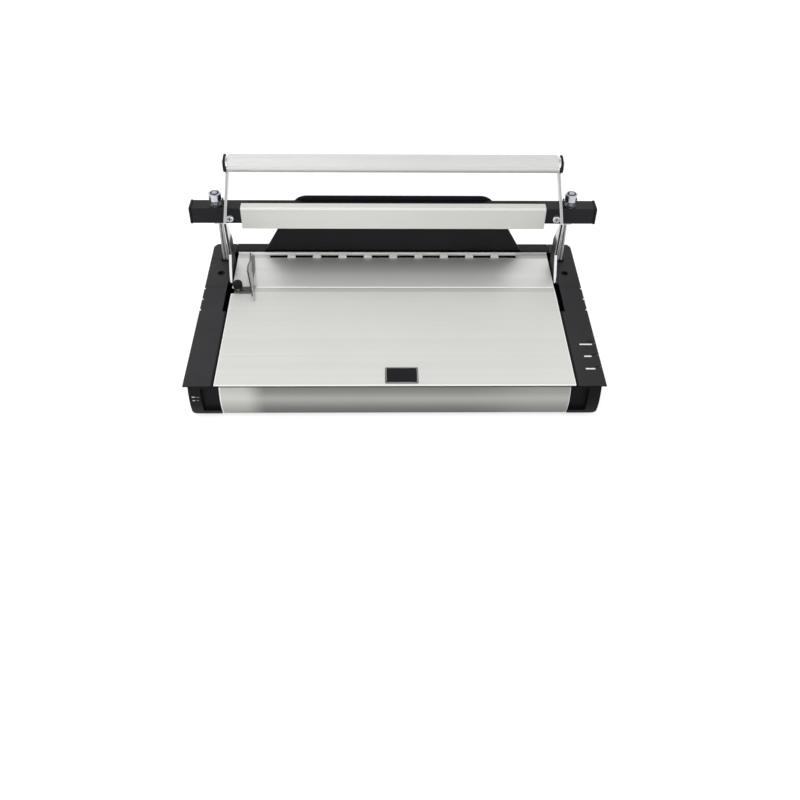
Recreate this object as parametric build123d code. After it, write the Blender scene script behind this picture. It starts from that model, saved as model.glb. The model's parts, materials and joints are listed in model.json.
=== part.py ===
"""Thermal strip binding machine: a heated press bar on two posts, pulled down by a U-shaped handle.

Machine frame used while modelling: X to the right, Y to the back, Z up, with Y = 0 on the row of
pin windows and Z = 0 on the table surface there. Everything is moved to the part frame on export:
the middle of the bounding box in plan, and the floor that the rubber feet stand on.
"""
import math
import os

from build123d import *

# ---- driving dimensions, mm ------------------------------------------------------------------
PIN_PITCH = 28.5          # spacing of the pins of a ten-pin strip
PIN_COUNT = 10
WINDOW_LENGTH = 19.4      # one pin window, along the row
WINDOW_DEPTH = 4.6
TABLE_MARGIN = 35.55      # table surface beyond the end windows

TABLE_FRONT = -210.0
TABLE_REAR = 6.4
TABLE_SPLIT = -57.0       # where the rear panel meets the front panel
TABLE_DROP = 7.3          # how far the table falls from the window row to the front edge
PANEL_SHEET = 1.5
FRONT_PANEL_STEP = 1.4    # the front panel stands this much above the rear one
FRONT_PANEL_FALL = 9.0    # length of the slope at the front panel's rear edge
REAR_RIM = 1.6            # height of the rear panel's upturned rear edge

TRAY_SHEET = 1.5
FLOOR_CLEAR = 1.0         # air under the posts when the press bar is down
FOOT_HEIGHT = 4.0
FOOT_RADIUS = 9.0

COVER_SHEET = 1.2
COVER_LIFT = 1.0          # top of the side covers above the table surface
COVER_OVERHANG = 5.0
COVER_FLARE = 0.3         # extra half width of the side covers at their front corners
COVER_CORNER = 8.0
SEAM_GAP = 0.4            # visible gap between neighbouring sheets
EDGE_GAP = 1.2            # wider gap between the panels and the side covers

ARM_SHEET = 3.0
ARM_STRAP = 7.0           # width of the arm above the press bar
ARM_GAP = 0.7             # side clearance of an arm in its slot
SWING_DEGREES = 62.0
STROKE = 31.0             # travel of the press bar over the whole swing
PIVOT_Y = -13.0
YOKE_Z = -7.2             # height of the yoke pins at rest, just under the covers
SHAFT_RADIUS = 5.0
RUNNING_GAP = 0.05        # radial clearance of a shaft or pin that turns
SEAT_GAP = 0.05           # clearance of a piece that is fixed in its hole
YOKE_PIN_RADIUS = 2.0
YOKE_GAP = 0.5            # clearance of the yoke pin in the foot slot
YOKE_WALL = 1.8

TUBE_FRONT = -11.2
TUBE_DEPTH = 18.4
TUBE_HEIGHT = 18.0
TUBE_WALL = 1.6
TUBE_CAP = 2.5
PRESS_ROOM = 18.5         # height left under the tube when the press bar is down
PRESS_COVER_SHEET = 1.2

POST_WIDTH = 5.4
POST_DEPTH = 8.0
POST_SHEET = 1.9
SLIDE_GAP = 0.3

HEATER_FRONT = -2.4
HEATER_DEPTH = 7.0
INSULATOR_HEIGHT = 4.0
BACKSTOP_SHEET = 1.5

BAR_Y = 24.0
BAR_DEPTH = 21.0
BAR_HEIGHT = 15.0
BAR_CAP = 2.2

GUIDE_SHEET = 1.5
GUIDE_HEIGHT = 18.0
KNOB_RADIUS = 5.0

# ---- values worked out from them -------------------------------------------------------------
SLOPE = TABLE_DROP / -TABLE_FRONT
ROW_HALF = (PIN_COUNT - 1) / 2 * PIN_PITCH + WINDOW_LENGTH / 2
TABLE_HALF = ROW_HALF + TABLE_MARGIN

# Across the machine, from the table outwards: arm, post, casing.
ARM_OUTER = TABLE_HALF + 4.9
ARM_INNER = ARM_OUTER - ARM_SHEET
SLOT_OUTER = ARM_OUTER + ARM_GAP
POST_INNER = ARM_OUTER + 5.0
POST_OUTER = POST_INNER + POST_WIDTH
POST_X = POST_INNER + POST_WIDTH / 2
STUD_X = POST_OUTER + 0.2
COVER_HALF_REAR = POST_OUTER + 13.9
COVER_HALF_FRONT = COVER_HALF_REAR + COVER_FLARE
SKIRT_HALF = COVER_HALF_REAR - COVER_OVERHANG
TRAY_HALF = SKIRT_HALF - COVER_SHEET - SEAM_GAP
TUBE_HALF = POST_OUTER + 26.2
PRESS_COVER_HALF = TABLE_HALF - 10.7

# From front to back: tube, post, backstop, rear wall.
TUBE_REAR = TUBE_FRONT + TUBE_DEPTH
POST_FRONT = TUBE_FRONT + 2.8
POST_REAR = POST_FRONT + POST_DEPTH
POST_Y = POST_FRONT + POST_DEPTH / 2
BACKSTOP_Y = TUBE_REAR + 1.2
COVER_REAR = BACKSTOP_Y + 14.8

# Heights: the crank that turns the swing into the stroke, the casing, the press bar.
PIVOT_Z = YOKE_Z - STROKE / 2
CRANK = STROKE / (2 * math.sin(math.radians(SWING_DEGREES / 2)))
YOKE_Y = PIVOT_Y - CRANK * math.cos(math.radians(SWING_DEGREES / 2))
YOKE_FAR_Y = PIVOT_Y - CRANK
YOKE_REACH = YOKE_PIN_RADIUS + YOKE_GAP
FOOT_TOP = YOKE_Z + YOKE_REACH + YOKE_WALL
FOOT_BOTTOM = YOKE_Z - YOKE_REACH - YOKE_WALL
BODY_DEPTH_BELOW = STROKE - FOOT_BOTTOM + FLOOR_CLEAR + TRAY_SHEET
FLOOR_TOP = TRAY_SHEET - BODY_DEPTH_BELOW
TUBE_BOTTOM = STROKE + PRESS_ROOM
TUBE_TOP = TUBE_BOTTOM + TUBE_HEIGHT
PRESS_COVER_BOTTOM = TUBE_BOTTOM - 5.7
HEATER_BOTTOM = TUBE_BOTTOM - 11.9
BACKSTOP_TOP = TUBE_TOP + 4.0
BAR_Z = TUBE_TOP + 34.3


def table_z(y):
    """Height of the table surface at y."""
    return y * SLOPE


# ---- small shape helpers ---------------------------------------------------------------------
def block(x0, x1, y0, y1, z0, z1):
    """A box between two corners."""
    middle = Pos((x0 + x1) / 2, (y0 + y1) / 2, (z0 + z1) / 2)
    return middle * Box(x1 - x0, y1 - y0, z1 - z0)


def side_profile(points, x0, x1):
    """An outline in the Y-Z plane, pushed from x0 to x1."""
    outline = make_face(Polyline(*points, close=True))
    return extrude(Plane.YZ.offset(x0) * outline, x1 - x0)


def sloped_plate(x0, x1, y0, y1, lift, sheet):
    """A plate that follows the table's slope, its top this far above the table surface."""
    corners = [
        (y0, table_z(y0) + lift),
        (y1, table_z(y1) + lift),
        (y1, table_z(y1) + lift - sheet),
        (y0, table_z(y0) + lift - sheet),
    ]
    return side_profile(corners, x0, x1)


def rod_x(y, z, radius, x0, x1):
    """A round bar along X."""
    return Pos((x0 + x1) / 2, y, z) * Rot(0, 90, 0) * Cylinder(radius, x1 - x0)


def rod_y(x, z, radius, y0, y1):
    """A round bar along Y."""
    return Pos(x, (y0 + y1) / 2, z) * Rot(90, 0, 0) * Cylinder(radius, y1 - y0)


def rod_z(x, y, radius, z0, z1):
    """A round bar along Z."""
    return Pos(x, y, (z0 + z1) / 2) * Cylinder(radius, z1 - z0)


def other_side(shape):
    """The same shape on the other side of the middle plane."""
    return mirror(shape, about=Plane.YZ)


def both_sides(shape):
    """A shape and its mirror image, as separate solids."""
    return [shape, other_side(shape)]


PIECES = {}


def keep(name, *solids):
    """Store the solids of one named piece."""
    PIECES[name] = list(solids)


def keep_sides(name, shape):
    """Store a shape made for the +X side as the right piece, and its mirror as the left one."""
    keep(name + "_right", shape)
    keep(name + "_left", other_side(shape))


# ---- casing ----------------------------------------------------------------------------------
TRAY_FRONT = TABLE_FRONT + 6.0
TRAY_REAR = COVER_REAR - COVER_SHEET - SEAM_GAP
TRAY_WALL_TOP = -TABLE_DROP - 3.4
FOOT_X = TABLE_HALF - 1.5
FOOT_ROWS = (TABLE_FRONT + 22.0, COVER_REAR - 19.2)
FOOT_PLACES = [(x, y) for x in (-FOOT_X, FOOT_X) for y in FOOT_ROWS]
FOOT_SCREW_RADIUS = 1.5
FOOT_SCREW_HEAD = 3.4
FOOT_SCREW_TOP = FLOOR_TOP + 2.0
CASING_BOTTOM = -BODY_DEPTH_BELOW + 0.2
REAR_SEAM = ARM_INNER + 1.3   # seam between the rear cover and a side cover
FASCIA_HALF = TABLE_HALF - 4.5
STANDOFF_X = POST_INNER + 5.2
STANDOFF_Y = -32.0
STANDOFF_RADIUS = 2.2
STANDOFF_TOP = -9.0
COVER_SCREW_HOLE = 3.2
BUSH_WALL = 1.2
BUSH_FLANGE = 0.6
BUSH_BOTTOM = FOOT_TOP + 0.5
EDGE_NOTCH_ROWS = (TABLE_SPLIT - 2.0, TABLE_SPLIT - 20.0, TABLE_SPLIT - 38.0)
EDGE_NOTCH_DEPTH = 1.3
EDGE_NOTCH_HALF = 1.4
LAMP_ROWS = (TABLE_FRONT + 60.2, TABLE_FRONT + 42.0, TABLE_FRONT + 24.6)
LAMP_X = COVER_HALF_REAR - 1.7
LAMP_SIZE = (1.8, 2.4)
ARM_KNEE = (TUBE_FRONT - 21.7, TUBE_BOTTOM + 12.9)   # front of the bend beside the press bar
ARM_ELBOW = (TUBE_FRONT - 16.1, PIVOT_Z + 43.0)


def slot_front():
    """Front end of an arm's slot: clear of the arm's front edge over the whole swing."""
    turn = math.radians(SWING_DEGREES)
    reach = []
    for i in range(21):
        y = ARM_KNEE[0] + (BAR_Y - 12.0 - ARM_KNEE[0]) * i / 20 - PIVOT_Y
        z = ARM_KNEE[1] + (BAR_Z - ARM_KNEE[1]) * i / 20 - PIVOT_Z
        height = PIVOT_Z + y * math.sin(turn) + z * math.cos(turn)
        if i == 0 or height < COVER_LIFT:
            reach.append(PIVOT_Y + y * math.cos(turn) - z * math.sin(turn))
    return min(reach) - ARM_GAP


SLOT_FRONT = slot_front()


def base_tray():
    """Folded steel tray: a floor and four low walls, open at the top."""
    outer = block(-TRAY_HALF, TRAY_HALF, TRAY_FRONT, TRAY_REAR, -BODY_DEPTH_BELOW, TRAY_WALL_TOP)
    sheet = TRAY_SHEET
    room = block(
        sheet - TRAY_HALF, TRAY_HALF - sheet, TRAY_FRONT + sheet, TRAY_REAR - sheet, FLOOR_TOP, 0
    )
    tray = outer - room
    for x, y in FOOT_PLACES:
        tray -= rod_z(x, y, FOOT_SCREW_RADIUS + SEAT_GAP, -BODY_DEPTH_BELOW - 1, FLOOR_TOP + 1)
    for box in REAR_OPENINGS:
        tray -= block(box[0] - 2, box[1] + 2, TRAY_REAR - 3, TRAY_REAR + 1, box[2] - 2, box[3] + 2)
    return tray


def rubber_feet():
    """Four round feet, hollowed below for the screw heads."""
    feet = []
    for x, y in FOOT_PLACES:
        bottom = -BODY_DEPTH_BELOW - FOOT_HEIGHT
        foot = rod_z(x, y, FOOT_RADIUS, bottom, -BODY_DEPTH_BELOW)
        foot = chamfer(foot.edges().sort_by(Axis.Z)[0], 0.8)
        foot -= rod_z(x, y, FOOT_SCREW_HEAD + 0.4, bottom - 1, bottom + FOOT_HEIGHT / 2)
        foot -= rod_z(x, y, FOOT_SCREW_RADIUS + SEAT_GAP, bottom, -BODY_DEPTH_BELOW + 1)
        feet.append(foot)
    return feet


def foot_screws():
    """The screws that hold the feet, with their nuts' ends just above the floor."""
    screws = []
    for x, y in FOOT_PLACES:
        seat = -BODY_DEPTH_BELOW - FOOT_HEIGHT / 2
        head = rod_z(x, y, FOOT_SCREW_HEAD, seat - 1.4, seat)
        shank = rod_z(x, y, FOOT_SCREW_RADIUS, seat - 0.5, FOOT_SCREW_TOP)
        screws.append(head + shank)
    return screws


def cover_outline():
    """Plan outline of the right side cover, as a tall prism."""
    front = TABLE_FRONT - 1.0
    inner = TABLE_HALF + EDGE_GAP
    rear = COVER_REAR
    half = COVER_HALF_REAR
    round_y = rear - COVER_CORNER
    edge = [
        Line((inner, front), (COVER_HALF_FRONT, front)),
        Line((COVER_HALF_FRONT, front), (half, round_y)),
        TangentArc((half, round_y), (half - COVER_CORNER, rear), tangent=(0, 1)),
        Line((half - COVER_CORNER, rear), (REAR_SEAM + SEAM_GAP / 2, rear)),
        Line((REAR_SEAM + SEAM_GAP / 2, rear), (REAR_SEAM + SEAM_GAP / 2, TABLE_REAR)),
        Line((REAR_SEAM + SEAM_GAP / 2, TABLE_REAR), (SLOT_OUTER, TABLE_REAR)),
        Line((SLOT_OUTER, TABLE_REAR), (SLOT_OUTER, SLOT_FRONT)),
        Line((SLOT_OUTER, SLOT_FRONT), (inner, SLOT_FRONT)),
        Line((inner, SLOT_FRONT), (inner, front)),
    ]
    outline = make_face(Wire(edge))
    return Pos(0, 0, -BODY_DEPTH_BELOW) * extrude(outline, 2 * BODY_DEPTH_BELOW)


CORNER_INNER = FASCIA_HALF + SEAM_GAP
CORNER_STEP = TABLE_HALF + 13.0   # where the recessed part of the front corner ends
CORNER_WALL = 1.4
CORNER_BOW = 2.2          # how far the front face bulges half way up
CORNER_TUCK = 2.6         # how far its lower edge goes back
CORNER_ROUND = 5.0        # radius of the lower outer corner
POCKET_DEPTH = 4.4        # depth of the pocket beside the fascia
POCKET_LIP = 6.0          # height of the lip left below the pocket


def front_corner():
    """The hollow front end of the right side cover: bowed, with a rounded lower corner and a pocket."""
    front = TABLE_FRONT - 0.6
    top = table_z(TABLE_FRONT) - 0.2
    under_panel = table_z(TABLE_FRONT) + FRONT_PANEL_STEP - PANEL_SHEET - 0.2
    rear = TRAY_FRONT - 0.4
    outer_x = SKIRT_HALF + 0.5
    low_front = front + CORNER_TUCK
    bow = (front - CORNER_BOW, (top + CASING_BOTTOM) / 2)
    edge = [
        ThreePointArc((front, top), bow, (low_front, CASING_BOTTOM)),
        Line((low_front, CASING_BOTTOM), (rear, CASING_BOTTOM)),
        Line((rear, CASING_BOTTOM), (rear, top)),
        Line((rear, top), (front, top)),
    ]
    body = extrude(Plane.YZ.offset(CORNER_INNER) * make_face(Wire(edge)), outer_x - CORNER_INNER)
    frame = block(CORNER_INNER, outer_x, front - 5, rear + 1, CASING_BOTTOM, top)
    lower = frame.edges().filter_by(Axis.Y).sort_by(Axis.Z)[:2].sort_by(Axis.X)[-1]
    body = body & fillet(lower, CORNER_ROUND)
    body -= block(CORNER_INNER - 1, TABLE_HALF + SEAM_GAP, front - 5, rear + 1, under_panel, top + 1)
    body -= block(
        CORNER_INNER - 1, CORNER_STEP, front - 5, front + POCKET_DEPTH, CASING_BOTTOM + POCKET_LIP, top - 2
    )
    wall = CORNER_WALL
    hollow = block(
        CORNER_STEP + wall,
        SKIRT_HALF - wall,
        front + 2 * wall,
        rear + 1,
        CASING_BOTTOM + wall,
        under_panel - wall,
    )
    return body - hollow


def side_cover():
    """Black right side cover: sloped top, skirt, rear wall and hollow front corner."""
    plate = sloped_plate(
        TABLE_HALF - 5, COVER_HALF_FRONT + 5, TABLE_FRONT - 2, COVER_REAR + 1, COVER_LIFT, COVER_SHEET
    )
    top = plate & cover_outline()
    skirt_top = COVER_LIFT - COVER_SHEET / 2
    skirt = side_profile(
        [
            (TRAY_FRONT - 2, CASING_BOTTOM),
            (COVER_REAR, CASING_BOTTOM),
            (COVER_REAR, table_z(COVER_REAR) + skirt_top),
            (TRAY_FRONT - 2, table_z(TRAY_FRONT - 2) + skirt_top),
        ],
        SKIRT_HALF - COVER_SHEET,
        SKIRT_HALF,
    )
    rear_top = table_z(COVER_REAR - COVER_SHEET) + skirt_top
    rear = block(
        REAR_SEAM + SEAM_GAP / 2,
        SKIRT_HALF,
        COVER_REAR - COVER_SHEET,
        COVER_REAR,
        CASING_BOTTOM,
        rear_top,
    )
    cover = top + skirt + rear + front_corner()
    clear = SLIDE_GAP + BUSH_WALL + SEAT_GAP * 2
    cover -= block(
        POST_INNER - clear, POST_OUTER + clear, POST_FRONT - clear, POST_REAR + clear, -10, 10
    )
    for y in EDGE_NOTCH_ROWS:
        notch = COVER_HALF_REAR - EDGE_NOTCH_DEPTH
        cover -= block(notch, COVER_HALF_REAR + 5, y - EDGE_NOTCH_HALF, y + EDGE_NOTCH_HALF, -8, 5)
    slit = POST_INNER + 0.8
    cover -= block(slit, slit + 2.2, TABLE_REAR + 1.2, COVER_REAR + 1, -0.5, 10)
    cover -= rod_z(STANDOFF_X, STANDOFF_Y, COVER_SCREW_HOLE, -10, 10)
    return cover


def cover_standoff():
    """Threaded pillar from the tray floor that takes a side cover's screw."""
    pillar = rod_z(STANDOFF_X, STANDOFF_Y, STANDOFF_RADIUS, FLOOR_TOP, STANDOFF_TOP)
    return pillar - rod_z(STANDOFF_X, STANDOFF_Y, 1.3, STANDOFF_TOP - 8, STANDOFF_TOP + 1)


def cover_screw():
    """Deep-set screw in the side cover's round hole, reaching down to the pillar."""
    head = rod_z(STANDOFF_X, STANDOFF_Y, COVER_SCREW_HOLE - 0.2, COVER_SCREW_SEAT, COVER_SCREW_TOP)
    shank = rod_z(STANDOFF_X, STANDOFF_Y, 1.25, STANDOFF_TOP - 7, COVER_SCREW_SEAT + 0.5)
    head -= rod_z(STANDOFF_X, STANDOFF_Y, 1.4, COVER_SCREW_TOP - 1.2, COVER_SCREW_TOP + 1)
    return head + shank


COVER_SCREW_TOP = table_z(STANDOFF_Y) + COVER_LIFT - COVER_SHEET + 0.1
COVER_SCREW_SEAT = COVER_SCREW_TOP - 2.4


def guide_bush():
    """Nylon bush in the side cover that a post slides through, with a thin flange on top."""
    wall = SLIDE_GAP + BUSH_WALL
    rim = wall + BUSH_FLANGE
    top = table_z(POST_REAR) + COVER_LIFT + 0.3
    sleeve = block(
        POST_INNER - wall, POST_OUTER + wall, POST_FRONT - wall, POST_REAR + wall, BUSH_BOTTOM, top
    )
    flange = block(
        POST_INNER - rim, POST_OUTER + rim, POST_FRONT - rim, POST_REAR + rim, top, top + 0.8
    )
    gap = SLIDE_GAP
    hole = block(
        POST_INNER - gap, POST_OUTER + gap, POST_FRONT - gap, POST_REAR + gap, -10, 10
    )
    return sleeve + flange - hole


# Openings in the rear wall: x0, x1, z0, z1.
SWITCH_X = TABLE_HALF - 55.5
INLET_X = TABLE_HALF - 21.5
FUSE_X = TABLE_HALF - 81.5
REAR_Z = 0.5 - BODY_DEPTH_BELOW / 2
SWITCH_SIZE = (13.0, 19.0)
INLET_SIZE = (27.0, 20.0)
FUSE_RADIUS = 6.0
REAR_OPENINGS = [
    (SWITCH_X - SWITCH_SIZE[0] / 2, SWITCH_X + SWITCH_SIZE[0] / 2, REAR_Z - 9.5, REAR_Z + 9.5),
    (INLET_X - INLET_SIZE[0] / 2, INLET_X + INLET_SIZE[0] / 2, REAR_Z - 10, REAR_Z + 10),
    (FUSE_X - FUSE_RADIUS, FUSE_X + FUSE_RADIUS, REAR_Z - FUSE_RADIUS, REAR_Z + FUSE_RADIUS),
]


def rear_cover():
    """Black strip behind the table, bent down into the rear wall."""
    half = REAR_SEAM - SEAM_GAP / 2
    front = TABLE_REAR + SEAM_GAP
    strip = sloped_plate(-half, half, front, COVER_REAR, COVER_LIFT, COVER_SHEET)
    wall_top = table_z(COVER_REAR - COVER_SHEET) + COVER_LIFT - COVER_SHEET / 2
    wall = block(-half, half, COVER_REAR - COVER_SHEET, COVER_REAR, CASING_BOTTOM, wall_top)
    lip = block(-half, half, front, front + COVER_SHEET, -5.0, 0.8)
    cover = strip + wall + lip
    for x0, x1, z0, z1 in REAR_OPENINGS[:2]:
        cover -= block(x0, x1, COVER_REAR - 5, COVER_REAR + 5, z0, z1)
    cover -= rod_y(FUSE_X, REAR_Z, FUSE_RADIUS, COVER_REAR - 5, COVER_REAR + 5)
    for x in BACKSTOP_SCREWS:
        cover -= rod_z(x, BACKSTOP_SCREW_Y, 1.5 + SEAT_GAP, -3, 5)
    return cover


def front_fascia():
    """Bowed silver strip that closes the front."""
    top = table_z(TABLE_FRONT) - PANEL_SHEET - 0.3
    belly = (top + CASING_BOTTOM) / 2 + 2
    outer = [(TABLE_FRONT + 0.4, top), (TABLE_FRONT - 2.4, belly), (TABLE_FRONT + 2.8, CASING_BOTTOM)]
    sheet = 1.5
    inner = [(y + sheet, z) for y, z in outer]
    edge = [
        ThreePointArc(*outer),
        Line(outer[2], inner[2]),
        ThreePointArc(*inner[::-1]),
        Line(inner[0], outer[0]),
    ]
    face = Plane.YZ.offset(-FASCIA_HALF) * make_face(Wire(edge))
    return extrude(face, 2 * FASCIA_HALF)


def rear_table_panel():
    """Light rear panel with the row of pin windows."""
    panel = sloped_plate(
        -TABLE_HALF, TABLE_HALF, TABLE_SPLIT + SEAM_GAP, TABLE_REAR, 0, PANEL_SHEET
    )
    panel += sloped_plate(
        -TABLE_HALF, TABLE_HALF, TABLE_REAR - PANEL_SHEET, TABLE_REAR, REAR_RIM, REAR_RIM + 0.5
    )
    for i in range(PIN_COUNT):
        x = (i - (PIN_COUNT - 1) / 2) * PIN_PITCH
        half = WINDOW_LENGTH / 2
        panel -= block(x - half, x + half, -WINDOW_DEPTH / 2, WINDOW_DEPTH / 2, -5, 5)
    return panel


GROOVE_ROWS = (TABLE_SPLIT - 39.5, TABLE_FRONT + 42.5)
GROOVE_RADIUS = 0.8
GROOVE_DEPTH = 0.12
NOTCH_INNER = 20.3 - TABLE_HALF   # the side guide's notch: inner end and front edge
NOTCH_FRONT = TABLE_SPLIT - 11.8


def front_table_panel():
    """Grained front panel, bent down at its rear edge, with two pressed grooves and a notch."""
    bend = TABLE_SPLIT - FRONT_PANEL_FALL
    step, sheet = FRONT_PANEL_STEP, PANEL_SHEET
    low = table_z(TABLE_SPLIT) + 0.2
    panel = side_profile(
        [
            (TABLE_FRONT, table_z(TABLE_FRONT) + step),
            (bend, table_z(bend) + step),
            (TABLE_SPLIT, low),
            (TABLE_SPLIT, low - 6),
            (TABLE_SPLIT - sheet, low - 6),
            (TABLE_SPLIT - sheet, low - sheet),
            (bend, table_z(bend) + step - sheet),
            (TABLE_FRONT, table_z(TABLE_FRONT) + step - sheet),
        ],
        -TABLE_HALF,
        TABLE_HALF,
    )
    for y in GROOVE_ROWS:
        z = table_z(y) + FRONT_PANEL_STEP + GROOVE_RADIUS - GROOVE_DEPTH
        panel -= rod_x(y, z, GROOVE_RADIUS, -TABLE_HALF - 1, TABLE_HALF + 1)
    panel -= block(-TABLE_HALF - 1, NOTCH_INNER, NOTCH_FRONT, TABLE_SPLIT + 1, -20, 10)
    return panel


LABEL_X = 6.0
LABEL_SIZE = (32.0, 22.5)
LABEL_Y = TABLE_FRONT + 13.5


def label_plate():
    """Blank black plate stuck on the front panel."""
    x0 = LABEL_X - LABEL_SIZE[0] / 2
    y0 = LABEL_Y - LABEL_SIZE[1] / 2
    lift = FRONT_PANEL_STEP + 0.5
    plate = sloped_plate(x0, x0 + LABEL_SIZE[0], y0, y0 + LABEL_SIZE[1], lift, 0.45)
    return fillet(plate.edges().filter_by(Axis.Z), 1.5)


RAIL_X = TABLE_HALF - 13.5


def table_rail():
    """Folded upright that carries the front panel on the +X side."""
    y0, y1 = TRAY_FRONT + 6, TABLE_SPLIT - 17
    lift = FRONT_PANEL_STEP - PANEL_SHEET - 0.2
    web = side_profile(
        [
            (y0, FLOOR_TOP),
            (y1, FLOOR_TOP),
            (y1, table_z(y1) + lift),
            (y0, table_z(y0) + lift),
        ],
        RAIL_X,
        RAIL_X + TRAY_SHEET,
    )
    foot = block(RAIL_X - 12, RAIL_X, y0, y1, FLOOR_TOP, FLOOR_TOP + TRAY_SHEET)
    head = sloped_plate(RAIL_X - 10, RAIL_X, y0, y1, lift, TRAY_SHEET)
    return web + foot + head


def lamp_lenses(grow=0.0):
    """Three small clear lenses let into the right side cover near its edge."""
    lenses = []
    for y in LAMP_ROWS:
        x0 = LAMP_X - LAMP_SIZE[0] / 2 - grow
        y0 = y - LAMP_SIZE[1] / 2 - grow
        x1 = x0 + LAMP_SIZE[0] + 2 * grow
        y1 = y0 + LAMP_SIZE[1] + 2 * grow
        lenses.append(sloped_plate(x0, x1, y0, y1, COVER_LIFT + 0.3 + grow, 1.6 + 2 * grow))
    return lenses


WELL_HALF = ROW_HALF + 3.05
WELL_DEPTH = 13.0


def pin_well():
    """Nylon block under the windows, with a pocket below each one for the pin tips."""
    top = -PANEL_SHEET - 0.4
    well = block(-WELL_HALF, WELL_HALF, -4.5, 4.5, top - WELL_DEPTH, top)
    for i in range(PIN_COUNT):
        x = (i - (PIN_COUNT - 1) / 2) * PIN_PITCH
        half = WINDOW_LENGTH / 2
        well -= block(x - half, x + half, -WINDOW_DEPTH / 2, WINDOW_DEPTH / 2, top - 10, top + 1)
    return well


BACKSTOP_HALF = WELL_HALF + 3.5    # half width of the backstop at its foot
BACKSTOP_TOP_HALF = BACKSTOP_HALF - 40.5
BACKSTOP_CORNER = 18.0
BACKSTOP_SCREWS = (-0.78 * WELL_HALF, 0.0, 0.78 * WELL_HALF)
BACKSTOP_SCREW_Y = BACKSTOP_Y + BACKSTOP_SHEET + 5.0


def backstop_plate():
    """Tall black plate behind the windows, narrowing upwards, on a folded foot."""
    bottom = table_z(BACKSTOP_Y) + COVER_LIFT + 0.1
    sheet = BACKSTOP_SHEET
    low, high = BACKSTOP_HALF, BACKSTOP_TOP_HALF
    outline = Polyline(
        (-low, bottom), (low, bottom), (high, BACKSTOP_TOP), (-high, BACKSTOP_TOP), close=True
    )
    face = Plane.XZ.offset(-BACKSTOP_Y) * make_face(outline)
    plate = extrude(face, -sheet)
    corners = plate.edges().filter_by(Axis.Y).sort_by(Axis.Z)[-2:]
    plate = fillet(corners, BACKSTOP_CORNER)
    foot_y = BACKSTOP_Y + sheet
    half = BACKSTOP_HALF - 4.5
    foot = sloped_plate(-half, half, BACKSTOP_Y, foot_y + 10, COVER_LIFT + 0.15 + sheet, sheet)
    plate += foot
    for x in BACKSTOP_SCREWS:
        plate -= rod_z(x, BACKSTOP_SCREW_Y, 1.5 + SEAT_GAP, -3, 10)
    return plate


def backstop_screws():
    """Three screws that hold the backstop's foot on the rear cover."""
    screws = []
    for x in BACKSTOP_SCREWS:
        seat = table_z(BACKSTOP_SCREW_Y) + COVER_LIFT + BACKSTOP_SHEET + 0.3
        head = rod_z(x, BACKSTOP_SCREW_Y, 3.0, seat, seat + 1.8)
        screws.append(head + rod_z(x, BACKSTOP_SCREW_Y, 1.5, -4.5, seat + 0.5))
    return screws


# ---- press bar -------------------------------------------------------------------------------
NUT_BOTTOM = TUBE_TOP + 7.0
NUT_HEIGHT = 8.0
TAB_HEIGHT = 7.5
WASHER_SHEET = 1.4
NUT_FLATS = 12.0
STUD_RADIUS = 3.0
STUD_TOP = NUT_BOTTOM + NUT_HEIGHT + 0.8
NUT_RING = 4.6
TUBE_SCREW_X = POST_X - 10.9
TUBE_SCREW_Z = TUBE_BOTTOM + 6.1
TUBE_SCREW_HEAD = 4.2
HEAD_SHEET = 2.5          # plate on top of a post, under the tube


def press_tube():
    """Square steel tube of the press bar, drilled for the studs and the front screws."""
    wall = TUBE_WALL
    tube = block(-TUBE_HALF, TUBE_HALF, TUBE_FRONT, TUBE_REAR, TUBE_BOTTOM, TUBE_TOP)
    tube = fillet(tube.edges().filter_by(Axis.X), 0.9)
    tube -= block(
        -TUBE_HALF - 1,
        TUBE_HALF + 1,
        TUBE_FRONT + wall,
        TUBE_REAR - wall,
        TUBE_BOTTOM + wall,
        TUBE_TOP - wall,
    )
    for x in (-STUD_X, STUD_X):
        tube -= rod_z(x, POST_Y, STUD_RADIUS + SEAT_GAP, TUBE_BOTTOM - 1, TUBE_TOP + 1)
    for x in (-TUBE_SCREW_X, TUBE_SCREW_X):
        tube -= rod_y(x, TUBE_SCREW_Z, 1.8 + SEAT_GAP, TUBE_FRONT - 1, TUBE_FRONT + wall + 1)
    return tube


def tube_cap():
    """Plastic end cap of the press tube, a little proud of it, with its plug."""
    lip = 0.7
    plate = block(
        TUBE_HALF,
        TUBE_HALF + TUBE_CAP,
        TUBE_FRONT - lip,
        TUBE_REAR + lip,
        TUBE_BOTTOM - lip,
        TUBE_TOP + lip,
    )
    plate = fillet(plate.edges().filter_by(Axis.X), 2.0)
    inset = TUBE_WALL + SEAT_GAP * 2
    plug = block(
        TUBE_HALF - 9,
        TUBE_HALF,
        TUBE_FRONT + inset,
        TUBE_REAR - inset,
        TUBE_BOTTOM + inset,
        TUBE_TOP - inset,
    )
    return plate + plug


def press_cover():
    """Silver sheet folded over the tube's front edge, with a short lip turned in below."""
    sheet = PRESS_COVER_SHEET
    front = TUBE_FRONT - sheet - 0.1
    top = TUBE_TOP + sheet + 0.1
    outline = [
        (front + 10.6, top),
        (front + 1.8, top),
        (front, top - 1.8),
        (front, PRESS_COVER_BOTTOM),
        (front + 5.0, PRESS_COVER_BOTTOM),
        (front + 5.0, PRESS_COVER_BOTTOM + sheet),
        (front + sheet, PRESS_COVER_BOTTOM + sheet),
        (front + sheet, top - sheet - 0.6),
        (front + sheet + 0.6, top - sheet),
        (front + 10.6, top - sheet),
    ]
    return side_profile(outline, -PRESS_COVER_HALF, PRESS_COVER_HALF)


HEATER_HALF = WELL_HALF - 5.0
HEATER_ROD_RADIUS = 2.4


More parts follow.
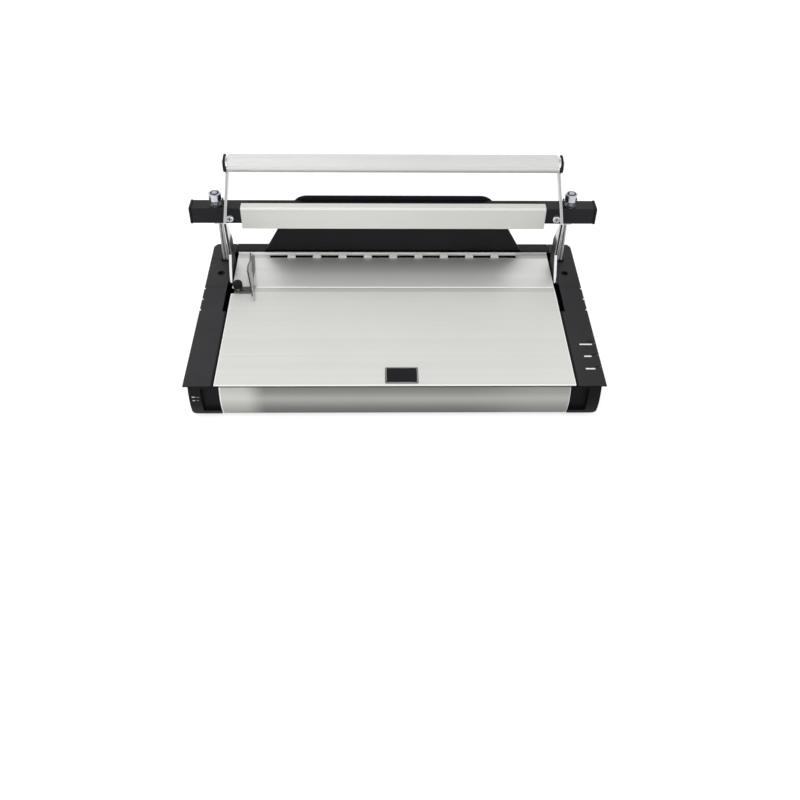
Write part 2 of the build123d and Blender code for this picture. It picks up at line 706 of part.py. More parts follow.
def insulator():
    """Heat-proof strip between the tube and the heater bar."""
    return block(
        -HEATER_HALF,
        HEATER_HALF,
        HEATER_FRONT - 3.0,
        HEATER_FRONT + HEATER_DEPTH + 1.5,
        TUBE_BOTTOM - INSULATOR_HEIGHT,
        TUBE_BOTTOM,
    )


def heater_bar():
    """Aluminium bar that flattens the pins, bored for the heating rod."""
    top = TUBE_BOTTOM - INSULATOR_HEIGHT
    bar = block(
        -HEATER_HALF, HEATER_HALF, HEATER_FRONT, HEATER_FRONT + HEATER_DEPTH, HEATER_BOTTOM, top
    )
    bar = chamfer(bar.edges().filter_by(Axis.X).sort_by(Axis.Z)[:2], 0.8)
    y = HEATER_FRONT + HEATER_DEPTH / 2
    return bar - rod_x(y, top - 4, HEATER_ROD_RADIUS + SEAT_GAP, -HEATER_HALF - 1, HEATER_HALF + 1)


def heater_rod():
    """Heating rod inside the heater bar, with a shoulder at its wire end."""
    y = HEATER_FRONT + HEATER_DEPTH / 2
    z = TUBE_BOTTOM - INSULATOR_HEIGHT - 4
    shoulder = HEATER_HALF + 0.1
    rod = rod_x(y, z, HEATER_ROD_RADIUS, -HEATER_HALF + 2, shoulder + 1)
    return rod + rod_x(y, z, HEATER_ROD_RADIUS + 0.6, shoulder, shoulder + 4)


def thermostat():
    """Small cut-out switch on the floor of the tube, over the middle of the heater."""
    y = HEATER_FRONT + HEATER_DEPTH / 2
    z = TUBE_BOTTOM + TUBE_WALL + SEAT_GAP
    return block(-8, 8, y - 3.5, y + 3.5, z, z + 6)


def guide_post():
    """Channel-section post, open to the front, with a slotted foot for the yoke pin."""
    sheet = POST_SHEET
    channel = block(POST_INNER, POST_OUTER, POST_FRONT, POST_REAR, FOOT_BOTTOM, TUBE_BOTTOM)
    head = block(POST_INNER, STUD_X + 4, POST_FRONT, POST_REAR, TUBE_BOTTOM - HEAD_SHEET, TUBE_BOTTOM)
    channel -= block(
        POST_INNER + sheet,
        POST_OUTER - sheet,
        POST_FRONT - 1,
        POST_REAR - sheet,
        FOOT_BOTTOM - 1,
        TUBE_BOTTOM - HEAD_SHEET,
    )
    reach = YOKE_REACH
    slot_rear = YOKE_Y + reach
    slot_end = YOKE_FAR_Y - reach
    foot = block(
        POST_INNER,
        POST_INNER + sheet,
        slot_end - YOKE_WALL,
        POST_FRONT + sheet,
        FOOT_BOTTOM,
        FOOT_TOP,
    )
    foot = fillet(foot.edges().filter_by(Axis.X).sort_by(Axis.Y)[:2], 1.6)
    slot = block(
        POST_INNER - 1, POST_OUTER + 1, slot_end, slot_rear, YOKE_Z - reach, YOKE_Z + reach
    )
    slot = fillet(slot.edges().filter_by(Axis.X), reach * 0.98)
    return channel + head + foot - slot


def adjusting_stud():
    """Threaded stud that stands on the post and passes up through the tube."""
    stud = rod_z(STUD_X, POST_Y, STUD_RADIUS, TUBE_BOTTOM, STUD_TOP)
    return chamfer(stud.edges().sort_by(Axis.Z)[-1], 0.5)


def lock_nut():
    """Hexagonal lock nut with its nylon ring left as a separate piece."""
    across = NUT_FLATS / 2 / math.cos(math.radians(30))
    body = Pos(STUD_X, POST_Y, NUT_BOTTOM) * extrude(RegularPolygon(across, 6), NUT_HEIGHT)
    top = NUT_BOTTOM + NUT_HEIGHT
    body = body & rod_z(STUD_X, POST_Y, across - 0.3, NUT_BOTTOM, top)
    body -= rod_z(STUD_X, POST_Y, STUD_RADIUS + SEAT_GAP, NUT_BOTTOM - 1, top + 1)
    return body - rod_z(STUD_X, POST_Y, NUT_RING, top - 1.6, top + 1)


def nut_ring():
    """Blue nylon ring in the top of a lock nut."""
    top = NUT_BOTTOM + NUT_HEIGHT
    ring = rod_z(STUD_X, POST_Y, NUT_RING - SEAT_GAP, top - 1.55, top + 0.2)
    return ring - rod_z(STUD_X, POST_Y, STUD_RADIUS + SEAT_GAP, top - 3, top + 1)


def stud_washer():
    """Thick washer on the tube round the stud."""
    z = TUBE_TOP + SEAT_GAP
    washer = rod_z(STUD_X, POST_Y, NUT_FLATS / 2, z, z + WASHER_SHEET)
    return washer - rod_z(STUD_X, POST_Y, STUD_RADIUS + SEAT_GAP, z - 1, z + 3)


def lock_tab():
    """Bent black tab beside a lock nut, standing on the tube."""
    x1 = STUD_X - NUT_FLATS / 2 - 0.8
    z = TUBE_TOP + SEAT_GAP
    upright = block(x1 - 1.2, x1, POST_Y - 3.5, POST_Y + 3.5, z, z + TAB_HEIGHT)
    foot = block(x1 - 3.2, x1, POST_Y - 3.5, POST_Y + 3.5, z, z + 1.2)
    return upright + foot


def tube_screw():
    """Pan-head screw in the tube's front face."""
    seat = TUBE_FRONT - SEAT_GAP
    head = rod_y(TUBE_SCREW_X, TUBE_SCREW_Z, TUBE_SCREW_HEAD, seat - 2.2, seat)
    head = fillet(head.edges().sort_by(Axis.Y)[0], 1.4)
    shank = rod_y(TUBE_SCREW_X, TUBE_SCREW_Z, 1.8, seat - 0.5, TUBE_FRONT + 8)
    x, z = TUBE_SCREW_X, TUBE_SCREW_Z
    for dx, dz in ((2.2, 0.4), (0.4, 2.2)):
        head -= block(x - dx, x + dx, seat - 3, seat - 1.2, z - dz, z + dz)
    return head + shank


# ---- handle ----------------------------------------------------------------------------------
HUB_RADIUS = SHAFT_RADIUS + 4.0
LUG_RADIUS = YOKE_PIN_RADIUS + 2.3
ARM_END_RADIUS = 7.0
CAP_SCREW_RADIUS = 2.0
BAR_LEAN = 24.0           # tilt of the grip's long axis, front edge down, degrees
FLUTES = 9
FLUTE_RADIUS = 0.35
COLLAR_WIDTH = 3.6
BRACKET_X = ARM_INNER - 8.1
BRACKET_SHEET = 2.5
BEARING_RADIUS = SHAFT_RADIUS + 2.0
BEARING_FLANGE = SHAFT_RADIUS + 4.0


def handle_arm():
    """Flat chrome arm: narrow strap above the press bar, wide below, hub and yoke lug."""
    lean = math.atan2(BAR_Z - ARM_KNEE[1], BAR_Y - ARM_KNEE[0])
    dy = ARM_STRAP * math.sin(lean)
    dz = -ARM_STRAP * math.cos(lean)
    near_bar = (BAR_Y + dy / 2, BAR_Z + dz / 2)
    far_bar = (BAR_Y - dy / 2, BAR_Z - dz / 2)
    rise = math.tan(lean)
    front_top = (far_bar[0], ARM_KNEE[1] + rise * (far_bar[0] - ARM_KNEE[0]))
    rear_knee = (ARM_KNEE[0] + dy + 2.0, ARM_KNEE[1] + dz + 2.0 * rise)
    rear_top = (near_bar[0] + dy / 2, rear_knee[1] + rise * (near_bar[0] + dy / 2 - rear_knee[0]))
    outline = [
        front_top,
        ARM_KNEE,
        ARM_ELBOW,
        (YOKE_Y - 2.6, YOKE_Z + LUG_RADIUS * 0.8),
        (YOKE_Y - LUG_RADIUS, YOKE_Z),
        (YOKE_Y - 2.0, YOKE_Z - LUG_RADIUS + 0.5),
        (PIVOT_Y - 4.0, PIVOT_Z - HUB_RADIUS + 1.0),
        (PIVOT_Y + HUB_RADIUS - 1.0, PIVOT_Z + 4.0),
        (PIVOT_Y + 5.5, PIVOT_Z + 26.7),
        (TUBE_FRONT + 2.2, TUBE_BOTTOM - 19.5),
        (TUBE_FRONT - 6.3, TUBE_BOTTOM - 4.5),
        rear_knee,
        rear_top,
    ]
    arm = side_profile(outline, ARM_INNER, ARM_OUTER)
    arm += rod_x(BAR_Y, BAR_Z, ARM_END_RADIUS, ARM_INNER, ARM_OUTER)
    arm += rod_x(PIVOT_Y, PIVOT_Z, HUB_RADIUS, ARM_INNER, ARM_OUTER)
    arm += rod_x(YOKE_Y, YOKE_Z, LUG_RADIUS, ARM_INNER, ARM_OUTER)
    arm -= rod_x(PIVOT_Y, PIVOT_Z, SHAFT_RADIUS + SEAT_GAP, ARM_INNER - 1, ARM_OUTER + 1)
    arm -= rod_x(YOKE_Y, YOKE_Z, YOKE_PIN_RADIUS + SEAT_GAP, ARM_INNER - 1, ARM_OUTER + 1)
    return arm - rod_x(BAR_Y, BAR_Z, CAP_SCREW_RADIUS + SEAT_GAP, ARM_INNER - 1, ARM_OUTER + 1)


def bar_section():
    """Oval section of the grip, before it is hollowed and fluted."""
    return Rot(0, 0, BAR_LEAN) * Ellipse(BAR_DEPTH / 2, BAR_HEIGHT / 2)


def handle_bar():
    """Fluted aluminium grip between the arms, hollow, with a screw channel along its middle."""
    wall = 2.2
    core = Ellipse(BAR_DEPTH / 2 - wall, BAR_HEIGHT / 2 - wall)
    section = bar_section() - Rot(0, 0, BAR_LEAN) * (core - Circle(4.2) - Rectangle(2, BAR_HEIGHT))
    section -= Circle(CAP_SCREW_RADIUS + SEAT_GAP)
    for i in range(FLUTES):
        along = math.radians(35 + 110 * i / (FLUTES - 1))
        for side in (along, -along):
            y = BAR_DEPTH / 2 * math.cos(side)
            z = BAR_HEIGHT / 2 * math.sin(side)
            section -= Rot(0, 0, BAR_LEAN) * Pos(y, z) * Circle(FLUTE_RADIUS)
    half = ARM_INNER - SEAT_GAP
    face = Plane.YZ.offset(-half) * (Pos(BAR_Y, BAR_Z) * section)
    return extrude(face, 2 * half)


def handle_cap():
    """Oval end cap outside an arm, covering the end of the grip's section."""
    x0 = ARM_OUTER + SEAT_GAP
    cap = extrude(Plane.YZ.offset(x0) * (Pos(BAR_Y, BAR_Z) * bar_section()), BAR_CAP)
    cap = chamfer(cap.faces().sort_by(Axis.X)[-1].edges(), 0.5)
    return cap - rod_x(BAR_Y, BAR_Z, CAP_SCREW_RADIUS + SEAT_GAP, x0 - 1, x0 + BAR_CAP + 1)


def cap_screw():
    """Screw through an end cap and arm into the grip."""
    seat = ARM_OUTER + SEAT_GAP * 2 + BAR_CAP
    head = rod_x(BAR_Y, BAR_Z, 3.6, seat, seat + 1.8)
    head = fillet(head.edges().sort_by(Axis.X)[-1], 1.2)
    return head + rod_x(BAR_Y, BAR_Z, CAP_SCREW_RADIUS, ARM_INNER - 14, seat + 0.5)


def cross_shaft():
    """Round shaft through both arms, turning in the two bearings."""
    half = ARM_OUTER + COLLAR_WIDTH + 0.6
    shaft = rod_x(PIVOT_Y, PIVOT_Z, SHAFT_RADIUS, -half, half)
    return chamfer(shaft.edges(), 0.4)


def shaft_collar():
    """Collar that keeps an arm on the shaft."""
    x0 = ARM_OUTER + SEAT_GAP
    ring = rod_x(PIVOT_Y, PIVOT_Z, HUB_RADIUS - 0.5, x0, x0 + COLLAR_WIDTH)
    return ring - rod_x(PIVOT_Y, PIVOT_Z, SHAFT_RADIUS + SEAT_GAP, x0 - 1, x0 + COLLAR_WIDTH + 1)


def yoke_pin():
    """Pin that the arm's lug pushes through the slot in the post's foot."""
    x1 = POST_INNER + POST_SHEET + 1.2
    pin = rod_x(YOKE_Y, YOKE_Z, YOKE_PIN_RADIUS, ARM_INNER, x1)
    return pin + rod_x(YOKE_Y, YOKE_Z, LUG_RADIUS - 0.6, ARM_OUTER + 0.1, POST_INNER - 1.6)


def pivot_bracket():
    """Upright on the tray floor that holds a shaft bearing."""
    x0, x1 = BRACKET_X, BRACKET_X + BRACKET_SHEET
    web = block(x0, x1, PIVOT_Y - 14, PIVOT_Y + 18, FLOOR_TOP, PIVOT_Z + 13)
    web = chamfer(web.edges().filter_by(Axis.X).sort_by(Axis.Z)[-2:], 6)
    foot = block(x0 - 12, x0, PIVOT_Y - 14, PIVOT_Y + 18, FLOOR_TOP, FLOOR_TOP + BRACKET_SHEET)
    for y in (PIVOT_Y - 8, PIVOT_Y + 12):
        foot -= rod_z(x0 - 6, y, 1.5 + SEAT_GAP, FLOOR_TOP - 1, FLOOR_TOP + 5)
    return web + foot - rod_x(PIVOT_Y, PIVOT_Z, BEARING_RADIUS + SEAT_GAP, x0 - 1, x1 + 1)


def bracket_screws():
    """Four screws that hold the two brackets' feet."""
    screws = []
    for x in (BRACKET_X - 6, 6 - BRACKET_X):
        for y in (PIVOT_Y - 8, PIVOT_Y + 12):
            seat = FLOOR_TOP + BRACKET_SHEET + SEAT_GAP
            head = rod_z(x, y, 2.8, seat, seat + 1.8)
            screws.append(head + rod_z(x, y, 1.5, FLOOR_TOP + 0.05, seat + 0.5))
    return screws


def shaft_bearing():
    """Flanged plain bearing for the cross shaft."""
    x0, x1 = BRACKET_X, BRACKET_X + BRACKET_SHEET
    body = rod_x(PIVOT_Y, PIVOT_Z, BEARING_RADIUS, x0 - 1.5, x1 + SEAT_GAP)
    body += rod_x(PIVOT_Y, PIVOT_Z, BEARING_FLANGE, x1 + SEAT_GAP, x1 + 1.8)
    return body - rod_x(PIVOT_Y, PIVOT_Z, SHAFT_RADIUS + RUNNING_GAP, x0 - 5, x1 + 5)


SPRING_WIRE = 0.7
SPRING_TURNS = 5
SPRING_RADIUS = SHAFT_RADIUS + 1.6
SPRING_PITCH = 1.9


def return_spring():
    """Coils of the spring that lifts the handle, wound loosely round the shaft."""
    x0 = BRACKET_X - 3.5 - SPRING_TURNS * SPRING_PITCH
    path = Helix(SPRING_PITCH, SPRING_TURNS * SPRING_PITCH, SPRING_RADIUS)
    wire = Plane(origin=path @ 0, z_dir=path % 0) * Circle(SPRING_WIRE)
    coil = sweep(wire, path)
    return Pos(x0, PIVOT_Y, PIVOT_Z) * Rot(0, 90, 0) * coil


# ---- side guide ------------------------------------------------------------------------------
GUIDE_X = 22.0 - TABLE_HALF
GUIDE_TRAVEL = 3.0
FENCE_FRONT = TABLE_SPLIT - 25.0
FENCE_REAR = 1.0
FENCE_X = 26.1 - TABLE_HALF   # front end of the fence's foot line
FENCE_TURN = 7.5              # the rear end stands nearer the edge, degrees
FENCE_LEAN = 14.0             # the top leans outwards, degrees
FENCE_FLANGE = 3.0
CARRIAGE = (3.5 - TABLE_HALF, NOTCH_INNER - 2.2, NOTCH_FRONT + 0.5, TABLE_SPLIT - 1.9)
KNOB_X = 7.5 - TABLE_HALF
KNOB_Y = TABLE_SPLIT - 6.6
KNOB_BASE = table_z(KNOB_Y) + FRONT_PANEL_STEP + 4.7
SHANK_RADIUS = 1.9


def side_fence():
    """Thin fence, turned and leaning outwards, on a foot joined to the sliding carriage."""
    clear = FRONT_PANEL_STEP + 0.3
    step_y = TABLE_SPLIT + 0.6
    upright = side_profile(
        [
            (FENCE_FRONT, table_z(FENCE_FRONT) + clear),
            (FENCE_FRONT, GUIDE_HEIGHT * 0.3),
            (FENCE_FRONT + 17.0, GUIDE_HEIGHT * 0.65),
            (TABLE_SPLIT + 3.0, GUIDE_HEIGHT),
            (TABLE_SPLIT + 17.0, GUIDE_HEIGHT * 0.9),
            (TUBE_FRONT - 7.8, GUIDE_HEIGHT * 0.45),
            (FENCE_REAR, GUIDE_HEIGHT * 0.28),
            (FENCE_REAR, 0.4),
            (step_y, table_z(step_y) + 0.5),
            (step_y, table_z(step_y) + clear),
        ],
        -GUIDE_SHEET / 2,
        GUIDE_SHEET / 2,
    )
    upright = Rot(0, -FENCE_LEAN, 0) * upright
    flange = sloped_plate(0, FENCE_FLANGE, step_y, FENCE_REAR, 1.4, 1.0)
    turned = Rot(0, 0, FENCE_TURN) * Pos(0, -FENCE_FRONT, 0) * (upright + flange)
    fence = Pos(FENCE_X, FENCE_FRONT, 0) * turned
    foot_end = FENCE_X - 1.6
    foot = sloped_plate(
        CARRIAGE[0], foot_end, CARRIAGE[2], CARRIAGE[3], FRONT_PANEL_STEP + 1.7, 1.4
    )
    z0 = table_z(CARRIAGE[2]) - 6.0
    carriage = block(CARRIAGE[0], CARRIAGE[1], CARRIAGE[2], CARRIAGE[3], z0, z0 + 7.6)
    hole = rod_z(KNOB_X, KNOB_Y, SHANK_RADIUS + RUNNING_GAP, -30, 10)
    return fence + foot + carriage - hole


def guide_knob():
    """Black domed knob of the guide's clamp screw, with finger flutes."""
    base = KNOB_BASE
    knob = rod_z(KNOB_X, KNOB_Y, KNOB_RADIUS, base, base + 7.5)
    knob = fillet(knob.edges().sort_by(Axis.Z)[-1], 3.4)
    for i in range(6):
        turn = math.radians(60 * i)
        x = KNOB_X + (KNOB_RADIUS + 1.1) * math.cos(turn)
        y = KNOB_Y + (KNOB_RADIUS + 1.1) * math.sin(turn)
        knob -= rod_z(x, y, 1.6, base - 1, base + 9)
    return knob - rod_z(KNOB_X, KNOB_Y, SHANK_RADIUS + SEAT_GAP, base - 1, base + 4)


def clamp_shank():
    """Chrome shank of the clamp screw, from the knob down through the carriage."""
    z0 = table_z(KNOB_Y) - 7.4
    return rod_z(KNOB_X, KNOB_Y, SHANK_RADIUS, z0, KNOB_BASE + 3.8)


def guide_rail():
    """Steel strip under the gap between the panels that the carriage slides on."""
    z1 = table_z(CARRIAGE[2]) - 6.3
    x0, x1 = CARRIAGE[0] - GUIDE_TRAVEL - 1.5, GUIDE_X + 9.5
    rail = block(x0, x1, CARRIAGE[2] - 1, CARRIAGE[3] + 1, z1 - 2, z1)
    web = block(x1 - TRAY_SHEET, x1, CARRIAGE[2] - 1, CARRIAGE[3] + 1, FLOOR_TOP, z1 - 2)
    gap = SHANK_RADIUS + 0.4
    slot = block(
        KNOB_X - GUIDE_TRAVEL - gap, KNOB_X + gap, KNOB_Y - gap, KNOB_Y + gap, z1 - 5, z1 + 1
    )
    return rail + web - slot


# ---- electrics -------------------------------------------------------------------------------
BOARD_RIGHT = TABLE_HALF - 43.5
BOARD = (BOARD_RIGHT - 90.0, BOARD_RIGHT, TABLE_SPLIT - 63.0, TABLE_SPLIT - 3.0)   # x0, x1, y0, y1
BOARD_SHEET = 1.6
BOARD_Z = FLOOR_TOP + 6.0


def controller_board():
    """Circuit board of the temperature control."""
    board = block(BOARD[0], BOARD[1], BOARD[2], BOARD[3], BOARD_Z, BOARD_Z + BOARD_SHEET)
    for x in (BOARD[0] + 5, BOARD[1] - 5):
        for y in (BOARD[2] + 5, BOARD[3] - 5):
            board -= rod_z(x, y, 1.7, BOARD_Z - 1, BOARD_Z + 3)
    return board


def board_pillars():
    """Four pillars that carry the board."""
    pillars = []
    for x in (BOARD[0] + 5, BOARD[1] - 5):
        for y in (BOARD[2] + 5, BOARD[3] - 5):
            pillar = rod_z(x, y, 3.0, FLOOR_TOP, BOARD_Z - SEAT_GAP)
            pillars.append(pillar + rod_z(x, y, 1.5, FLOOR_TOP, BOARD_Z + 3))
    return pillars


def board_parts():
    """Transformer, relay, capacitor and triac on the board."""
    x, y = BOARD[0], BOARD[2]
    z = BOARD_Z + BOARD_SHEET + SEAT_GAP
    transformer = block(x + 12, x + 36, y + 8, y + 36, z, z + 15)
    relay = block(x + 44, x + 63, y + 8, y + 24, z, z + 13)
    capacitor = rod_z(x + 52, y + 42, 6, z, z + 14)
    triac = block(x + 68, x + 78, y + 36, y + 40, z, z + 12)
    return [transformer, relay, capacitor, triac]


def switch_frame():
    """Frame of the rear rocker switch, clipped in its opening."""
    width, height = SWITCH_SIZE
    gap = SEAT_GAP
    x0, x1 = SWITCH_X - width / 2, SWITCH_X + width / 2
    z0, z1 = REAR_Z - height / 2, REAR_Z + height / 2
    body = block(x0 + gap, x1 - gap, COVER_REAR - 14, COVER_REAR, z0 + gap, z1 - gap)
    rim = block(x0 - 1.2, x1 + 1.2, COVER_REAR + gap, COVER_REAR + 1.4, z0 - 1.2, z1 + 1.2)
    rim += block(x0 + gap, x1 - gap, COVER_REAR - 1, COVER_REAR + 1, z0 + gap, z1 - gap)
    room = block(x0 + 1.5, x1 - 1.5, COVER_REAR - 10, COVER_REAR + 3, z0 + 1.5, z1 - 1.5)
    pin_room = rod_x(COVER_REAR - 2.5, REAR_Z, 1.2 + RUNNING_GAP, x0 + 0.6, x1 - 0.6)
    return body + rim - room - pin_room


ROCKER_TILT = 8.0


def power_rocker():
    """Rocker of the mains switch, resting in its off position."""
    width, height = SWITCH_SIZE
    half = width / 2 - 1.5 - 0.25
    tall = height / 2 - 1.5 - 0.5
    y = COVER_REAR - 2.5
    outline = [
        (y - 3.5, REAR_Z - 4.0),
        (y + 2.6, REAR_Z - tall),
        (y + 4.6, REAR_Z - tall + 0.3),
        (y + 3.4, REAR_Z),
        (y + 4.6, REAR_Z + tall - 0.3),
        (y + 2.6, REAR_Z + tall),
        (y - 3.5, REAR_Z + 4.0),
    ]
    rocker = side_profile(outline, SWITCH_X - half, SWITCH_X + half)
    rocker += rod_x(y, REAR_Z, 1.2, SWITCH_X - half - 0.9, SWITCH_X + half + 0.9)
    turn = Pos(0, y, REAR_Z) * Rot(ROCKER_TILT, 0, 0) * Pos(0, -y, -REAR_Z)
    return turn * rocker


def mains_inlet():
    """Rear mains inlet with three contact blades in its well."""
    width, height = INLET_SIZE
    gap = SEAT_GAP
    x0, x1 = INLET_X - width / 2, INLET_X + width / 2
    z0, z1 = REAR_Z - height / 2, REAR_Z + height / 2
    body = block(x0 + gap, x1 - gap, COVER_REAR - 17, COVER_REAR + 1, z0 + gap, z1 - gap)
    body += block(x0 - 2.5, x1 + 2.5, COVER_REAR + gap, COVER_REAR + 2.2, z0 - 2, z1 + 2)
    well = block(x0 + 2, x1 - 2, COVER_REAR - 14, COVER_REAR + 5, z0 + 2.5, z1 - 2.5)
    well = chamfer(well.edges().filter_by(Axis.Y).sort_by(Axis.Z)[-2:], 3.5)
    inlet = body - well
    for x, z in ((INLET_X - 7, REAR_Z - 2), (INLET_X, REAR_Z + 2), (INLET_X + 7, REAR_Z - 2)):
        inlet += block(x - 1, x + 1, COVER_REAR - 15, COVER_REAR - 2, z - 2, z + 2)
    return inlet


def fuse_holder():
    """Screw-cap fuse holder in the rear wall."""
    body = rod_y(FUSE_X, REAR_Z, FUSE_RADIUS - SEAT_GAP, COVER_REAR - 18, COVER_REAR + 1)
    body += rod_y(FUSE_X, REAR_Z, FUSE_RADIUS + 1.5, COVER_REAR + SEAT_GAP, COVER_REAR + 2.4)
    return body - block(
        FUSE_X - 4, FUSE_X + 4, COVER_REAR + 1.6, COVER_REAR + 5, REAR_Z - 0.6, REAR_Z + 0.6
    )


# ---- assembly --------------------------------------------------------------------------------
def build():
    """Make every piece in the machine frame."""
    keep("base_tray", base_tray())
    keep("rubber_feet", *rubber_feet())
    keep("foot_screws", *foot_screws())
    cover = side_cover()
    keep("side_cover_left", other_side(cover))
    for opening in lamp_lenses(grow=SEAT_GAP):
        cover -= opening
    keep("side_cover_right", cover)
    keep("cover_standoffs", *both_sides(cover_standoff()))
    keep("cover_screws", *both_sides(cover_screw()))
    keep_sides("guide_bush", guide_bush())
    keep("rear_cover", rear_cover())
    keep("front_fascia", front_fascia())
    keep("rear_table_panel", rear_table_panel())
    keep("front_table_panel", front_table_panel())
    keep("label_plate", label_plate())
    keep_sides("table_rail", table_rail())
    keep("lamp_lenses", *lamp_lenses())
    keep("pin_well", pin_well())
    keep("backstop_plate", backstop_plate())
    keep("backstop_screws", *backstop_screws())

    keep("press_tube", press_tube())
    keep("tube_caps", *both_sides(tube_cap()))
    keep("press_cover", press_cover())
    keep("insulator", insulator())
    keep("heater_bar", heater_bar())
    keep("heater_rod", heater_rod())
    keep("thermostat", thermostat())
    keep_sides("guide_post", guide_post())
    keep("adjusting_studs", *both_sides(adjusting_stud()))
    keep("lock_nuts", *both_sides(lock_nut()))
    keep("nut_rings", *both_sides(nut_ring()))
    keep("stud_washers", *both_sides(stud_washer()))
    keep("lock_tabs", *both_sides(lock_tab()))
    keep("tube_screws", *both_sides(tube_screw()))

    keep("handle_bar", handle_bar())
    keep_sides("handle_arm", handle_arm())
    keep("handle_caps", *both_sides(handle_cap()))
    keep("cap_screws", *both_sides(cap_screw()))
    keep("cross_shaft", cross_shaft())
    keep("shaft_collars", *both_sides(shaft_collar()))
    keep("yoke_pins", *both_sides(yoke_pin()))
    keep_sides("pivot_bracket", pivot_bracket())
    keep("bracket_screws", *bracket_screws())
    keep("shaft_bearings", *both_sides(shaft_bearing()))
    keep("return_springs", *both_sides(return_spring()))

    keep("side_fence", side_fence())
    keep("guide_knob", guide_knob())
    keep("clamp_shank", clamp_shank())
    keep("guide_rail", guide_rail())

    keep("controller_board", controller_board())
    keep("board_pillars", *board_pillars())
    keep("board_parts", *board_parts())
    keep("switch_frame", switch_frame())
    keep("power_rocker", power_rocker())
    keep("mains_inlet", mains_inlet())
    keep("fuse_holder", fuse_holder())


def export_all():
    """Move every piece to the part frame and write one file for each."""
    boxes = [solid.bounding_box() for solids in PIECES.values() for solid in solids]
    y_low = min(box.min.Y for box in boxes)
    y_high = max(box.max.Y for box in boxes)
    shift = Pos(0, -(y_low + y_high) / 2, BODY_DEPTH_BELOW + FOOT_HEIGHT)
    os.makedirs("parts", exist_ok=True)
    for name, solids in PIECES.items():
        placed = [shift * solid for solid in solids]
        shape = placed[0] if len(placed) == 1 else Compound(children=placed)
        shape.label = name
        export_step(shape, os.path.join("parts", name + ".step"))
    print("shift", -(y_low + y_high) / 2, BODY_DEPTH_BELOW + FOOT_HEIGHT)
    print("pivot", PIVOT_Y - (y_low + y_high) / 2, PIVOT_Z + BODY_DEPTH_BELOW + FOOT_HEIGHT)


build()
export_all()
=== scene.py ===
"""Thermal strip binding machine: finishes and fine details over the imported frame.

The part's own frame: +X to the operator's right, +Y to the back, +Z up. Blender works in metres,
and so do the camera, the floor and the lamps. The places of zones and the sizes, heights and edges
of pieces are in millimetres.
"""

import json
import math

import bpy
from mathutils import Matrix, Vector


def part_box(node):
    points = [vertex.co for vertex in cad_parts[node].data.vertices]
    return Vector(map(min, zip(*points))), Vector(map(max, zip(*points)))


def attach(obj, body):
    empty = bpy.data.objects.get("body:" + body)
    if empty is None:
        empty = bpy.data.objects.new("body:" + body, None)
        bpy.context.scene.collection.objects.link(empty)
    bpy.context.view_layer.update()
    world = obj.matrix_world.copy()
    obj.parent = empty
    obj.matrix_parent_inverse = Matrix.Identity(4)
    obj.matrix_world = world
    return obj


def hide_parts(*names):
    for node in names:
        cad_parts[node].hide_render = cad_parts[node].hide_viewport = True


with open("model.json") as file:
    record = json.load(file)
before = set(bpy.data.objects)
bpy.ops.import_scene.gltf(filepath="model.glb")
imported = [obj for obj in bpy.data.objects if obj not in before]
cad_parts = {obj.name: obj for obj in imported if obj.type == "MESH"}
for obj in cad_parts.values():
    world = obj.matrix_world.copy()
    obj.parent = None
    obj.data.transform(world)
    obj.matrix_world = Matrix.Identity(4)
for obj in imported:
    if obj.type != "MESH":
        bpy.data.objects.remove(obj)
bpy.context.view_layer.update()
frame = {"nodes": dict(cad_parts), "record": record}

MM = 0.001
WHITE = (1, 1, 1, 1)
NODES = frame["nodes"]
SUBPARTS = frame["record"]["subparts"]
SLOTS = {part["node"]: part["material_slot"] for part in SUBPARTS}
BODIES = {
    node: body
    for body, nodes in frame["record"]["behaviour"]["bodies"].items()
    for node in nodes
}


def deselect_all():
    """Leave edit mode and select nothing."""
    if bpy.context.object and bpy.context.object.mode != "OBJECT":
        bpy.ops.object.mode_set(mode="OBJECT")
    bpy.ops.object.select_all(action="DESELECT")


# ---- nodes of materials ------------------------------------------------------------------------
def add_node(tree, kind, inputs=None, **settings):
    """New node with its own settings; inputs are sockets to link or plain values to set."""
    node = tree.nodes.new(kind)
    for label, value in settings.items():
        setattr(node, label, value)
    for label, value in (inputs or {}).items():
        if isinstance(value, bpy.types.NodeSocket):
            tree.links.new(value, node.inputs[label])
        else:
            node.inputs[label].default_value = value
    return node


def math_node(tree, operation, a, b, clamp=False):
    """Math node on sockets or numbers; gives its output."""
    node = add_node(tree, "ShaderNodeMath", {0: a, 1: b}, operation=operation, use_clamp=clamp)
    return node.outputs[0]


def noise_node(tree, vector, scale, detail, rough=0.55):
    """Noise on a vector; gives its grey value."""
    inputs = {"Vector": vector, "Scale": scale, "Detail": detail, "Roughness": rough}
    return add_node(tree, "ShaderNodeTexNoise", inputs).outputs["Fac"]


def stretched(tree, vector, along, across):
    """Vector scaled so that a pattern on it runs along X."""
    inputs = {"Vector": vector, "Scale": (along, across, across)}
    return add_node(tree, "ShaderNodeMapping", inputs).outputs[0]


# ---- camera, surroundings, floor and lamps -----------------------------------------------------
CAMERA_PLACE = (-0.01350, -0.75272, 0.60829)    # metres
CAMERA_TURN = 1.625      # degrees to the right of straight ahead
CAMERA_DOWN = 42.75      # degrees below level
CAMERA_ROLL = 0.988      # degrees
CAMERA_LENS = 39.955     # mm, on a sensor 36 mm wide
SENSOR_WIDTH = 36.0

SKY_ON_MACHINE = 0.55         # strength of the white surroundings as light on the machine
SKY_SEEN = 1.0                # the same, as the camera and reflections see them
CEILING_START, CEILING_FULL = 0.6, 0.95    # upward part of a reflection's direction
CEILING_STRENGTH = 0.55       # the surroundings straight above, as reflections see them

FLOOR_SIDE = 12.0             # metres
FLOOR_GREY = (0.5, 0.5, 0.5, 1)
FLOOR_GLOW = 0.66             # what the camera and reflections see on top of the floor's own light

